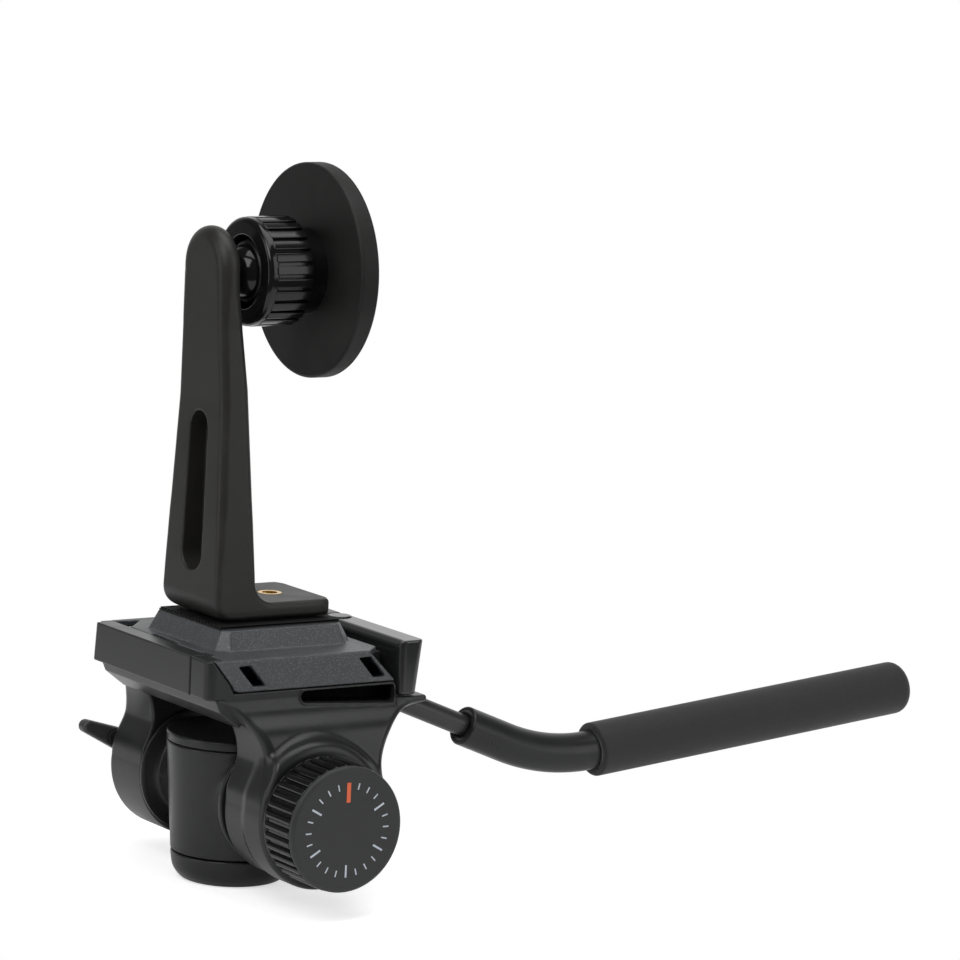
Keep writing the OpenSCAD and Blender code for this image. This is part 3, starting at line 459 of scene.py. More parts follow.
def skin(name, form, at, share):
    """Closed mesh over the zero surface of a form, thinned where it is flat."""
    start, step = at
    form = np.ascontiguousarray(form)
    inside = form < 0
    size = np.array(form.shape) - 1
    stride = np.array([size[1] * size[2], size[2], 1])
    spots, rings, one = [], [], np.eye(3, dtype=int)
    for axis in range(3):
        u, v = (axis + 1) % 3, (axis + 2) % 3
        here, there = [slice(1, -1)] * 3, [slice(1, -1)] * 3
        here[axis], there[axis] = slice(0, -1), slice(1, None)
        edge = np.argwhere(inside[tuple(here)] != inside[tuple(there)]) + one[u] + one[v]
        after = edge + one[axis]
        near, far = form[tuple(edge.T)], form[tuple(after.T)]
        spot = edge.astype(float)
        spot[:, axis] += near / (near - far)
        cells = np.array([0, -stride[u], -stride[u] - stride[v], -stride[v]])
        ring = (edge @ stride)[:, None] + cells
        rings.append(np.where((near < 0)[:, None], ring, ring[:, ::-1]))
        spots.append(np.repeat(spot, 4, axis=0))
    spots = np.concatenate(spots)
    index = np.unique(np.concatenate(rings).reshape(-1), return_inverse=True)[1]
    count = np.bincount(index)
    points = np.stack([np.bincount(index, spots[:, i]) / count for i in range(3)], 1)
    made = bpy.data.meshes.new(name)
    made.from_pydata((points * step + start) * MM, [], index.reshape(-1, 4))
    thin = plain(name, made, "DECIMATE", {"ratio": share})
    lean = normals_of(form, (np.array([v.co for v in thin.vertices]) / MM - start) / step)
    thin.polygons.foreach_set("use_smooth", [True] * len(thin.polygons))
    thin.normals_split_custom_set_from_vertices(lean)
    return thin


def normals_of(form, at):
    """Outward direction of a form at points given in grid steps."""
    def value(p):
        base = np.clip(np.floor(p).astype(int), 0, np.array(form.shape) - 2)
        t = p - base
        total = 0
        for i in range(8):
            corner = np.array([i & 1, i >> 1 & 1, i >> 2 & 1])
            weight = np.prod(np.where(corner, t, 1 - t), axis=1)
            total = total + weight * form[tuple((base + corner).T)]
        return total
    lean = np.stack([value(at + s) - value(at - s) for s in np.eye(3) * 0.6], 1)
    return lean / np.maximum(np.linalg.norm(lean, axis=1, keepdims=True), 1e-9)


def moulding(form, at, share, name, slot, node, replaced=True, material=None):
    """Finished piece with the skin of a form."""
    keep(skin(name, form, at, share), name, slot, node, replaced, material)


def repeated(mesh, name, slot, node, axis, centre, count, line=(0.0, 0.0, 0.0), replaced=True,
             material=None):
    """Piece of one small mesh set count times round an axis or along a line."""
    tree, given, out = new_group(name + " layout", "Geometry", [
        ("Geometry", "Geometry", None), ("Count", "Int", 1), ("Axis", "Vector", None),
        ("Centre", "Vector", None), ("Turn", "Float", 0.0), ("Line", "Vector", None)],
        [("Geometry", "Geometry")])

    def made(kind, **inputs):
        named = {label.replace("_", " "): value for label, value in inputs.items()}
        return add(tree, kind, named, "GeometryNode").outputs[0]

    dots = made("MeshLine", Count=given["Count"], Start_Location=given["Centre"],
                Offset=given["Line"])
    angle = maths(tree, "MULTIPLY", made("InputIndex"), given["Turn"])
    turn = add(tree, "AxisAngleToRotation", {"Axis": given["Axis"], "Angle": angle},
               "FunctionNode").outputs[0]
    back = vector_maths(tree, "MULTIPLY", given["Centre"], (-1.0, -1.0, -1.0))[0]
    centred = made("Transform", Geometry=given["Geometry"], Translation=back)
    placed = made("InstanceOnPoints", Points=dots, Instance=centred, Rotation=turn)
    coat = made("SetMaterial", Geometry=made("RealizeInstances", Geometry=placed),
                Material=material or FINISHES[slot])
    tree.links.new(coat, out["Geometry"])
    values = {"Count": count, "Axis": axis, "Centre": [c * MM for c in centre],
              "Turn": 0.0 if any(line) else tau / count, "Line": [c * MM for c in line]}
    inputs = {item.identifier: values[item.name] for item in tree.interface.items_tree
              if item.name in values}
    done = plain(name, mesh, "NODES", {"node_group": tree}, inputs)
    keep(done, name, slot, node, replaced, material)


def straight(origin, axis, across):
    """Place along a straight axis: its centre, direction and side direction."""
    origin, axis, across = Vector(origin), Vector(axis), Vector(across)
    return lambda along: (origin + axis * along, axis, across)


def turned(name, outline, spot, steps=96):
    """Mesh swept round an axis, straight or bent: the outline holds (radius, place) pairs.

    It is closed when its ends meet, and otherwise both its ends lie on the axis.
    """
    loop = dist(outline[0], outline[-1]) < 1e-6
    outline = np.array(outline[:-1] if loop else outline, float)
    after = np.roll(outline, -1, 0)
    run = after - outline
    if not loop:
        run[-1] = run[-2]
    turn = np.sign(np.sum(outline[:, 0] * after[:, 1] - after[:, 0] * outline[:, 1]))
    lean = np.stack([run[:, 1], -run[:, 0]], 1) * turn
    lean += np.roll(lean, 1, 0) if loop else np.vstack([lean[:1], lean[:-1]])
    points, normals, rows = [], [], []
    for (r, place), (out, along) in zip(outline, lean):
        centre, axis, across = spot(place)
        third = axis.cross(across)
        size = hypot(out, along) or 1.0
        if r < 1e-6:
            rows.append([len(points)] * steps)
            points.append(centre)
            normals.append(axis * copysign(1.0, along))
            continue
        rows.append(range(len(points), len(points) + steps))
        for i in range(steps):
            a = tau * i / steps
            side = across * cos(a) + third * sin(a)
            points.append(centre + side * r)
            normals.append(side * (out / size) + axis * (along / size))
    faces = []
    for low, high in zip(rows, rows[1:] + rows[:1] if loop else rows[1:]):
        for i in range(steps):
            j = (i + 1) % steps
            ring = (low[i], low[j], high[j], high[i])
            ring = tuple(dict.fromkeys(ring if turn > 0 else ring[::-1]))
            if len(ring) > 2:
                faces.append(ring)
    made = mesh_of(name, points, faces)
    made.normals_split_custom_set_from_vertices([tuple(n) for n in normals])
    return made


def rounded(outline, r, steps=5):
    """Outline with its corners rounded: they are (u, v) or (u, v, own radius)."""
    made = []
    count = len(outline)
    for i, corner in enumerate(outline):
        own = corner[2] if len(corner) > 2 else r
        here = np.array(corner[:2], float)
        if own <= 0 or i in (0, count - 1):
            made.append(tuple(here))
            continue
        before = np.array(outline[i - 1][:2], float) - here
        after = np.array(outline[(i + 1) % count][:2], float) - here
        la, lb = np.linalg.norm(before), np.linalg.norm(after)
        before, after = before / la, after / lb
        half = acos(np.clip(before @ after, -1, 1)) / 2
        if half > 1.5:
            made.append(tuple(here))
            continue
        reach = min(own / tan(half), la * 0.49, lb * 0.49)
        own = reach * tan(half)
        middle = here + (before + after) / np.linalg.norm(before + after) * own / sin(half)
        start = here + before * reach - middle
        end = here + after * reach - middle
        a0, a1 = atan2(start[1], start[0]), atan2(end[1], end[0])
        turn = (a1 - a0 + pi) % tau - pi
        for k in range(steps + 1):
            a = a0 + turn * k / steps
            made.append((middle[0] + own * cos(a), middle[1] + own * sin(a)))
    return made


def round_piece(name, slot, node, spot, outline, r=0.5, steps=128, replaced=True):
    """Finished turned piece with its corners rounded."""
    keep(turned(name, rounded(outline, r), spot, steps), name, slot, node, replaced)


# Shared places, in millimetres, the same as the solids
X_AXIS, Y_AXIS, Z_AXIS = (1, 0, 0), (0, 1, 0), (0, 0, 1)
TILT_Z = 38.5
TILT = (0, TILT_Z)
UNDER_Z, WEB_TOP = 76.476, 83.976
DECK_X, DECK_Z = 47.8, 98.176
CHEEK_IN, CHEEK_OUT, BOSS_X = 34.0, 61.5, 65.5
JAW_Z, JAW_TOP = 85.276, 101.376
JAW_BACK, JAW_FRONT = 34.3, 41.9
JAW_SCREWS, JAW_SCREW_Z, JAW_SCREW_R = (-22.0, 6.0, 34.0), JAW_Z + 7.0, 1.65
SHELF_TOP, SHELF_BACK = 80.476, -61.0
LEVER_FRONT, LEVER_BACK = -48.0, -60.0
LEVER_Z, LEVER_TOP = 81.476, 103.976
PIVOT, PIVOT_R = (10.0, -54.0), 2.55
CAP_Z, CAP_TOP = 102.976, 104.476
PLATE_X, PLATE_Z, PLATE_TOP = 47.8, 98.476, 101.176
SKIRT_BOTTOM = 87.976
SLOT_PLACES = (25.4, -31.0)
CAMERA_SCREW = (0, -13.6)
PAD_Z, PAD_TOP = 109.176, 110.476
BRACKET_Z, BRACKET_TOP = 110.476, 269.976
BALL_Y, BALL_Z = -3.5, 250.976
COLLAR_FRONT, COLLAR_BACK = 5.3, -16.3
NECK_BACK, DISC_BACK = -24.8, -33.2
KNOB_IN = -66.5
ROD_START = (38.0, -58.0, 78.276)
ROD_SLOPE = radians(22.5)
ROD_L, ROD_BORE_R, SLEEVE_L = 84.7, 4.85, 24.5
BEND_R, BEND_ANGLE = 97.0, radians(28.0)
BEND_START = ROD_L + SLEEVE_L
GRIP_L = 172.5
TILT_AXIS = straight((0, 0, TILT_Z), X_AXIS, Y_AXIS)
BALL_AXIS = straight((0, 0, BALL_Z), Y_AXIS, X_AXIS)


def arc(centre, r, start, end, steps=10):
    """Points of an arc, angles in degrees."""
    angles = [radians(start + (end - start) * i / steps) for i in range(steps + 1)]
    return [(centre[0] + r * cos(a), centre[1] + r * sin(a)) for a in angles]


def skirt_room(x, y, z, side):
    """Space that a side skirt of the camera plate needs."""
    edge = shape(y, z, [(29.8, 87.676), (32.1, 91.976), (39.6, PLATE_TOP), (39.6, 104.0),
                        (-49.0, 104.0), (-49.0, 87.676)])
    return np.maximum(edge, 44.9 - side * x)


def strap_slot(y, z, place, rim):
    """Slanted slot for a strap, its front end at the given place."""
    return shape(y, z, [(place + 2.0, 98.276), (place - 4.8, 90.376), (place - 9.4, 90.376),
                        (place - 2.6, 98.276)], rim)


def side_window(y, z):
    """Rounded outline of the window in the near side."""
    return shape(y, z, [(-3.4, 84.6), (-3.4, 84.0), (-43.6, 81.6), (-43.6, 84.6)], 2.0)


def rod_bore(x, y, z):
    """Distance from the handle rod's own bore."""
    dy, dz = -cos(ROD_SLOPE), -sin(ROD_SLOPE)
    py, pz = y - ROD_START[1], z - ROD_START[2]
    along = py * dy + pz * dz
    side = np.hypot(x - ROD_START[0], py * dz - pz * dy)
    return np.maximum(side - ROD_BORE_R, slab(along, -17.5, 30.0))


def jaw_holes(body, x, z, end):
    """The body without the holes of the front jaw's screws."""
    for place in JAW_SCREWS:
        body = cut(body, disc(x, z, (place, JAW_SCREW_Z), JAW_SCREW_R), end, 0.1)
    return body


def cheek_outline(x, y, z):
    """Side view of a cheek: its round end flows into the web."""
    lobe = disc(y, z, (-4.0, 38.0), 28.8) + 0 * x
    web = shape(y, z, [(22.0, 44.0), (36.0, WEB_TOP), (-46.0, WEB_TOP), (-46.0, SHELF_TOP),
                       (SHELF_BACK, SHELF_TOP), (SHELF_BACK, UNDER_Z), (-35.0, 55.976),
                       (-31.9, 34.1)])
    web = less(web, disc(y, z, (46.0, 60.0), 26.0), 0.6)
    web = less(web, disc(y, z, (-60.5, 51.976), 26.8), 0.4)
    return either(lobe, web, 4.0)


def cheek(x, z, outline, side):
    """One cheek, its outer side a smooth flare from the platform down to its round end."""
    low, out = (54.5, CHEEK_OUT) if side > 0 else (44.0, BOSS_X)
    heights = np.arange(0.0, 100.0, 0.25)
    reach = np.interp(heights, [low, 59.5, 64.0, 67.5, 70.6, 73.2, 75.3, 77.0, 78.8, 80.8, 83.0],
                      [out, 60.6, 59.6, 58.6, 57.4, 55.8, 53.8, 51.7, 50.0, 48.9, DECK_X])
    for width in (17, 13):
        reach = np.convolve(reach, np.ones(width) / width, mode="same")
    slope = np.gradient(reach, heights)
    section = side * x - np.interp(z, heights, reach)
    section = section / np.sqrt(1 + np.interp(z, heights, slope) ** 2)
    soft = 2.4 + 1.6 * np.clip((z - 40.0) / 16.0, 0, 1) * np.clip((80.0 - z) / 8.0, 0, 1)
    return both(both(outline, section, soft), CHEEK_IN - side * x, 1.5)


def platform(x, y, z):
    """Flat body under the camera plate, with the shelf behind it and the corner by the jaw."""
    deck = shape(y, z, [(JAW_BACK, DECK_Z), (JAW_BACK, JAW_Z), (38.0, JAW_Z), (36.0, 80.376),
                        (27.0, 73.476), (24.0, UNDER_Z), (SHELF_BACK + 11.0, UNDER_Z),
                        (SHELF_BACK, SHELF_TOP - 1.7), (SHELF_BACK, SHELF_TOP),
                        (-46.0, SHELF_TOP), (-46.0, DECK_Z)])
    deck = both(deck, np.abs(x) - DECK_X, 0.7)
    slant = (y + 34.4 + (PLATE_TOP - z) * 0.985) / 1.404
    deck = cut(deck, np.maximum(slant, 36.0 - np.abs(x)), 86.4 - z, 0.4)
    post = shape(x, y, [(-DECK_X, JAW_BACK), (-DECK_X, 37.9), (-43.8, 37.9),
                        (-43.8, JAW_FRONT), (-33.0, JAW_FRONT), (-33.0, JAW_BACK)])
    post = np.minimum(post, disc(x, y, (-43.8, 37.9), 4.0))
    return either(deck, both(post, slab(z, JAW_Z, JAW_TOP), 0.7), 0.4)


def rear_block(x, y, z):
    """Fixed block beside the release lever, the lever's foot and the handle's tie."""
    block = oblong(x, y, (17.0, LEVER_BACK), (DECK_X, LEVER_FRONT))
    block = both(block, slab(z, 79.5, LEVER_TOP), 1.4)
    foot = both(disc(x, y, PIVOT, 6.0), slab(z, 78.0, 81.176), 0.3)
    tie = oblong(x, y, (29.05, LEVER_BACK), (46.95, -43.0))
    tie = both(tie, slab(z, 74.476, SHELF_TOP), 0.8)
    return either(either(block, foot, 0.4), tie, 0.8)


# Moulded pieces

def tilt_frame():
    """Yoke and platform as one soft edged moulding."""
    x, y, z, at = grid((-66, -62, 6), (62, 43, 105), 0.55)
    outline = cheek_outline(x, y, z)
    body = np.minimum(cheek(x, z, outline, -1), cheek(x, z, outline, 1))
    body = either(body, platform(x, y, z), 1.6)
    ring = both(disc(y, z, (-1.7, 37.0), 32.4), slab(x, -BOSS_X, -50.0), 4.5)
    body = either(body, both(ring, outline, 2.4), 3.0)
    body = either(body, rear_block(x, y, z), 0.6)
    window = side_window(y, z)
    lip = both(np.abs(window - 0.45) - 0.5, np.maximum(body - 0.5, x + 46.5), 0.3)
    body = cut(np.minimum(body, lip), window, slab(x, -50.0, -38.8), 0.35)
    for side in (-1, 1):
        body = less(body, skirt_room(x, y, z, side), 0.35)
        for place in SLOT_PLACES:
            body = cut(body, strap_slot(y, z, place, 1.0), slab(side * x, 39.5, 60.0), 0.2)
    room = np.maximum(np.abs(x) - 38.0, slab(y, -38.0, 26.0))
    body = cut(body, room, 84.176 - z, 0.5)
    body = cut(body, disc(y, z, TILT, 14.05), 33.0 - np.abs(x), 0.2)
    body = cut(body, disc(y, z, TILT, 20.05), 57.5 - np.abs(x), 0.3)
    body = jaw_holes(body, x, z, slab(y, 25.0, 42.0))
    body = cut(body, disc(x, y, PIVOT, PIVOT_R), slab(z, 70.0, 90.0), 0.2)
    body = less(body, rod_bore(x, y, z), 0.3)
    moulding(body, at, 0.22, "tilting_frame", "black_plastic", "tilt_frame")


def painted_shade_floors():
    """Painted shade: almost black sheets on the floor and walls of the window and on the floors of
    the pockets behind the strap slots.
    """
    x, y, z, at = grid((-45, -46, 79), (45, 29, 100), 0.5)
    window = side_window(y, z)
    form = both(window - 0.3, slab(x, -39.2, -38.2), 0.2)
    wall = np.maximum(np.abs(window + 0.1) - 0.25, slab(x, -46.6, -38.6))
    form = np.minimum(form, wall)
    for place in SLOT_PLACES:
        sheet = both(strap_slot(y, z, place, 1.1), slab(np.abs(x), 38.8, 39.9), 0.2)
        form = np.minimum(form, sheet)
    moulding(form, at, 0.3, "painted_shade_pocket_floors", "black_plastic", "tilt_frame", False, deep_shade())


def front_jaw():
    """Jaw in front of the camera plate, its far end slanted."""
    x, y, z, at = grid((-33, 34, 85), (48, 42, 102), 0.4)
    block = both(oblong(y, z, (JAW_BACK, JAW_Z), (JAW_FRONT, JAW_TOP)), -32.7 - x, 0.6)
    block = both(block, x - 46.0 - (JAW_TOP - z) * 0.11, 1.7)
    block = less(block, skirt_room(x, y, z, 1), 0.3)
    block = jaw_holes(block, x, z, y - 40.45)
    moulding(block, at, 0.3, "front_jaw_moulding", "black_plastic", "front_jaw")


def raised_block(x, y, z):
    """Block with four sloping sides and four bevelled corners."""
    up, out = 4.0 / hypot(4.0, 8.0), 8.0 / hypot(4.0, 8.0)
    rise, half, corner = z - PLATE_TOP, 32.0, 59.0
    bx, by = np.abs(x), np.abs(y + 4.2)
    sides = both((bx - half) * out + rise * up, (by - half) * out + rise * up, 0.3)
    across = (bx + by) / sqrt(2)
    facet = (across - corner * sqrt(2) / 2) * out + rise * up
    return both(both(sides, facet, 0.35), slab(z, PLATE_TOP - 2.0, PAD_Z), 0.5)


def camera_plate():
    """Sliding plate: flange, raised block with bevelled corners, and skirts with strap slots."""
    x, y, z, at = grid((-48, -47, 87), (48, 40, 110), 0.45)
    flange = shape(x, y, [(-PLATE_X, 33.5), (PLATE_X, 33.5), (PLATE_X, -33.0), (39.8, -41.0),
                          (-39.8, -41.0), (-PLATE_X, -33.0)])
    body = both(flange, slab(z, PLATE_Z, PLATE_TOP), 0.7)
    for pocket in ([(44.0, 32.6), (43.2, 23.5), (33.0, 32.6)],
                   [(13.6, 34.5), (13.8, 31.2), (-5.0, 32.0), (-7.5, 34.5)],
                   [(-26.5, 34.5), (-26.0, 32.0), (-33.0, 31.4), (-35.0, 34.5)]):
        body = less(body, shape(x, y, pocket, 0.5) + 0 * z, 0.4)
    body = either(body, raised_block(x, y, z), 0.8)
    skirt = shape(y, z, [(39.0, PLATE_TOP), (30.4, 90.6), (29.4, 88.7), (27.5, SKIRT_BOTTOM),
                         (-46.0, SKIRT_BOTTOM), (-33.0, PLATE_TOP)])
    for place in SLOT_PLACES:
        skirt = less(skirt, strap_slot(y, z, place, 0.4), 0.1)
    for side in (-1, 1):
        body = either(body, both(skirt, slab(side * x, 45.2, PLATE_X), 0.55), 0.3)
    body = cut(body, disc(x, y, CAMERA_SCREW, 17.0), z - 105.476, 0.3)
    body = cut(body, disc(x, y, CAMERA_SCREW, 3.4), 0 * z, 0.2)
    moulding(body, at, 0.3, "camera_plate_moulding", "grained_plastic", "camera_plate")


def mirrored(outline):
    """Whole outline from one half of it, by its mirror image across the middle."""
    return [(-u, v) for u, v in outline] + outline[::-1]


def bracket():
    """Upright bracket with a foot, a blind slot and softly rounded edges."""
    x, y, z, at = grid((-23, -31.5, 110), (23, 25, 270.5), 0.5)
    low, high = BRACKET_Z, BRACKET_TOP
    tall = high - low
    side = [(-31.0, low)] + arc((14.8, low + 10.0), 10.0, -90, 0, 12)
    side += [(23.7, low + tall * 0.3), (22.6, low + tall * 0.56), (23.7, low + tall * 0.8),
             (24.74, high + 9.0), (14.0, high + 9.0), (14.0, 243.476), (9.9, 204.976)]
    side += arc((-3.0, 127.276), 9.0, 0, -90, 12) + [(-31.0, 118.276)]
    profile = shape(y, z, side)
    front = shape(x, z, mirrored([
        (17.9, low), (20.5, low + 0.7), (22.3, low + 2.5), (22.9, low + 5.0),
        (21.7, low + tall * 0.26), (19.95, low + tall * 0.44), (17.0, 228.976),
        (17.0, 252.976)]))
    front = np.minimum(front, disc(x, z, (0, high - 17.0), 17.0))
    body = both(profile, front, 2.6 + 0.9 * np.clip((z - 130.0) / 30.0, 0, 1)
                + 1.6 * np.clip((z - 232.0) / 22.0, 0, 1))
    plan = shape(x, y, [(-22.9, 30.0), (22.9, 30.0), (22.9, -25.0), (21.2, -29.2), (17.0, -31.0),
                        (-17.0, -31.0), (-21.2, -29.2), (-22.9, -25.0)])
    body = both(body, plan, 1.4)
    wide, bottom, narrow, top = 7.75, 137.726, 7.0, 187.976
    slot = shape(x, z, [(-wide, bottom), (wide, bottom), (narrow, top), (-narrow, top)])
    ends = np.minimum(disc(x, z, (0, bottom), wide), disc(x, z, (0, top), narrow))
    body = less(body, both(np.minimum(slot, ends), 14.6 - y, 1.0), 0.7)
    body = cut(body, disc(x, y, CAMERA_SCREW, 5.02), z - 130.0, 0.3)
    body = cut(body, disc(x, z, (0, BALL_Z), 3.05), slab(y, 0.0, 21.1), 0.1)
    moulding(body, at, 0.3, "bracket_moulding", "bracket_plastic", "bracket")


def release_lever():
    """Lever that frees the camera plate: broad bevelled top and a round, tapered end."""
    x, y, z, at = grid((-48, -60, 81), (16, -48, 104), 0.4)
    taper = (LEVER_TOP - z) * np.clip(-x / 48.0, 0, 1) * 0.13
    bar = both(slab(x, -DECK_X, PIVOT[0]), LEVER_BACK + taper - y, 3.6)
    bar = both(bar, y - LEVER_FRONT, 3.2)
    bar = np.minimum(np.maximum(bar, x - 6.0), disc(x, y, PIVOT, 6.0))
    bar = np.minimum(bar, np.maximum(np.abs(x - 2.0) - 8.0, slab(y, LEVER_BACK, LEVER_FRONT)))
    bevel = (z - LEVER_TOP + y - LEVER_FRONT) / sqrt(2) + 1.5
    bevel = np.where(x < -46.0, bevel - (-46.0 - x) * 0.4, bevel)
    body = both(both(bar, slab(z, LEVER_Z, LEVER_TOP), 0.8), bevel, 0.5)
    body = cut(body, disc(x, y, PIVOT, PIVOT_R), 0 * z, 0.1)
    body = cut(body, disc(x, y, PIVOT, 4.3), 99.876 - z, 0.1)
    body = cut(body, disc(x, y, PIVOT, 5.15), CAP_Z - z, 0.3)
    moulding(body, at, 0.3, "release_lever_moulding", "black_plastic", "release_lever",
             material=lever_plastic())


def tilt_lever():
    """Hub and tapered arm of the tilt lock, with a dark round disc set in a shallow recess of the
    arm's inner side as painted shade for a hollow there.
    """
    x, y, z, at = grid((62.9, -12, 27), (75.5, 38, 57), 0.35)
    hub = both(disc(y, z, TILT, 11.0), slab(x, 62.9, 75.4), 1.4)
    c, s = cos(radians(23)), sin(radians(23))
    along = y * c + (z - TILT_Z) * s
    up = (z - TILT_Z) * c - y * s
    arm_l, shade_spot = 35.7, 22.2
    t = np.clip(along / arm_l, 0, 1)
    wide = np.hypot(along - arm_l * t, up) - 7.0 + 4.2 * t
    arm = both(wide, np.abs(x - 67.4) - 3.5 + 0.5 * t, 1.7)
    body = either(hub, arm, 1.5)
    body = cut(body, disc(along, up, (shade_spot, 0.0), 3.5), x - 64.6, 0.3)
    body = cut(body, disc(y, z, TILT, 3.6), 0 * x, 0.2)
    moulding(body, at, 0.35, "tilt_lever_moulding", "black_plastic", "tilt_lever",
             material=arm_plastic_painted_light())
    # The dark rubber disc in the recess is painted shade for a hollow in the arm.
    round_piece("tilt_lever_shade_plug", "rubber_pad", "tilt_lever",
                straight((0, shade_spot * c, TILT_Z + shade_spot * s), X_AXIS, Y_AXIS),
                [(0, 64.0), (3.3, 64.0), (3.3, 66.0), (0, 66.0)], 0.5, 48, replaced=False)


def base_ring():
    """Base ring with its softened chamfers and the bores for the bushing and three screws."""
    x, y, z, at = grid((-25.5, -25.5, 0), (25.5, 25.5, 11.5), 0.35)
    out = np.hypot(x, y)
    body = both(out - 25.3, slab(z, 0.0, 11.5), 0.7)
    body = both(body, (out - z - 20.5) / sqrt(2), 1.0)
    body = both(body, (4.5 * out - 1.4 * z - 4.5 * 23.9 + 1.4 * 3.5) / hypot(4.5, 1.4), 1.0)
    body = less(body, out + 0 * z - 8.05, 0.2)
    body = cut(body, out - 10.05, 5.0 - z, 0.1)
    body = cut(body, out - 20.05, 7.0 - z, 0.2)
    for i in range(3):
        turn = tau * i / 3
        place = (-15.0 * sin(turn), 15.0 * cos(turn))
        body = cut(body, disc(x, y, place, 2.85), z - 3.0, 0.15)
        body = less(body, disc(x, y, place, 1.55) + 0 * z, 0.1)
    moulding(body, at, 0.3, "base_ring_turned", "black_plastic", "base_ring")


def barrel():
    """Barrel and its trunnions, which flow into each other."""
    x, y, z, at = grid((-34, -29, 11.5), (34, 29, 66), 0.5)
    out, reach = np.hypot(x, y), np.abs(x)
    low_r, top_r = 25.35, 28.5
    wide = low_r + (top_r - low_r) * (z - 12.0) / 45.6
    drum = both(out - wide, slab(z, 12.0, 57.6), 0.6)
    neck = np.maximum(out - 27.3, slab(z, 50.0, 58.2))
    flare = 19.0 + 6.9 * np.clip((reach - 29.0) / 2.5, 0, 1) ** 2
    arm = both(np.hypot(y, z - TILT_Z) - flare, reach - 33.4, 0.6)
    body = either(drum, arm, 3.0)
    body = np.maximum(body, np.where(out < 28.8, z - 57.6, -9.0))
    body = np.maximum(np.minimum(body, neck), 12.0 - z)
    body = cut(body, out - 8.5, 0 * z, 0.2)
    body = cut(body, out - 10.55, z - 30.0, 0.2)
    body = cut(body, out - 14.0, 46.0 - z, 0.2)
    body = cut(body, disc(y, z, TILT, 16.0), 22.0 - reach, 0.2)
    body = cut(body, disc(y, z, TILT, 4.05), x, 0.1)
    body = cut(body, disc(y, z, TILT, 3.55), 11.0 - x, 0.1)
    moulding(body, at, 0.3, "barrel_moulding", "black_plastic", "barrel")


def pad():
    """Rubber pad: a thin sheet with square ribs across it."""
    x, y, z, at = grid((-25, -32, PAD_Z), (-23.6, 24, PAD_TOP), 0.25)
    rib = both(np.maximum(np.abs(x + 24.3) - 0.7, slab(y, -32.0, 24.0)),
               slab(z, PAD_Z, PAD_TOP), 0.3)
    repeated(skin("pad rib", rib, at, 0.2), "pad_ribs", "rubber_pad", "plate_pad", X_AXIS,
             (-24.3, 0, 109.8), 20, (2.5, 0.0, 0.0), replaced=False)


# Turned pieces

def barrel_cap():
    """Cap on the barrel, with the spigot that holds it."""
    cap = [(0, 55.0), (13.9, 55.0, 0.2), (13.9, 58.2, 0), (28.5, 58.2, 0.3), (28.5, 61.9, 1.1),
           (0, 61.9)]
    round_piece("barrel_cap_turned", "black_plastic", "barrel_cap",
                straight((0, 0, 0), Z_AXIS, X_AXIS), cap)


def lever_cap():
    """Flat cap over the release lever's screw."""
    cap = [(0, CAP_Z), (5.0, CAP_Z, 0), (5.0, CAP_TOP, 0.6), (0, CAP_TOP)]
    round_piece("lever_cap_turned", "gloss_black", "lever_cap",
                straight((*PIVOT, 0), Z_AXIS, X_AXIS), cap, steps=64)


def knob():
    """Pan lock knob: a glossy core with ribs set round it."""
    core = [(0, -78.55), (4.05, -78.55, 0), (4.05, KNOB_IN + 3.6, 0), (12.0, KNOB_IN + 3.6, 0.4),
            (12.0, KNOB_IN, 0.3), (25.5, KNOB_IN, 0.6), (25.5, -67.6, 0.3), (24.5, -68.0, 0.2),
            (24.5, -86.3, 0.4), (20.1, -86.3, 0), (20.1, -82.5, 0), (0, -82.5)]
    round_piece("knob_core", "gloss_black", "lock_knob", TILT_AXIS, core, steps=144)
    rib = [(0, -87.0), (0.8, -86.9), (1.35, -86.45), (1.6, -85.6), (1.6, -68.6), (1.4, -67.8),
           (0.9, -67.4), (0, -67.3)]
    one = turned("rib", rib, straight((0, 24.35, TILT_Z), X_AXIS, Y_AXIS), 20)
    repeated(one, "knob_ribs", "gloss_black", "lock_knob", X_AXIS, (0, 0, TILT_Z), 36)


def knob_face():
    """Matte face with a soft rim."""
    face = [(0, -82.4), (19.95, -82.4), (19.95, -86.4), (25.0, -86.4), (25.6, -86.6)]
    face += arc((23.7, -86.9), 2.0, 0, -90, 8) + [(0, -88.9)]
    keep(turned("knob face", face, TILT_AXIS, 144), "knob_face_turned", "face_black", "knob_face")


def tick(name, length, width, top):
    """Thin mark on the knob's face, at the top of the ring of marks."""
    half, outer, sunk = width / 2, 19.2, -88.7
    corners = [(-half, outer - length), (half, outer - length), (half, outer), (-half, outer)]
    points = [(x, u, TILT_Z + v) for x in (top, sunk) for u, v in corners]
    faces = [(3, 2, 1, 0), (4, 5, 6, 7), (1, 5, 4, 0), (2, 6, 5, 1), (3, 7, 6, 2), (0, 4, 7, 3)]
    return mesh_of(name, points, faces, smooth=False)


def dial():
    """Generic dial on the knob's face: pale ticks, longer ones between, and one warm mark."""
    pale = dial_paint("dial pale", (0.42, 0.46, 0.52), (0.5, 0.54, 0.6))
    warm = dial_paint("dial warm", (0.62, 0.10, 0.035), (0.7, 0.13, 0.045))
    for name, length, width, top, count in (
            ("dial_ticks", 2.6, 0.55, -88.94, 24), ("dial_long_ticks", 5.0, 0.8, -88.965, 6)):
        repeated(tick(name, length, width, top), name, "face_black", "knob_face", X_AXIS,
                 (0, 0, TILT_Z), count, replaced=False, material=pale)
    keep(tick("mark", 8.0, 1.8, -88.99), "dial_mark", "face_black", "knob_face", False, warm)


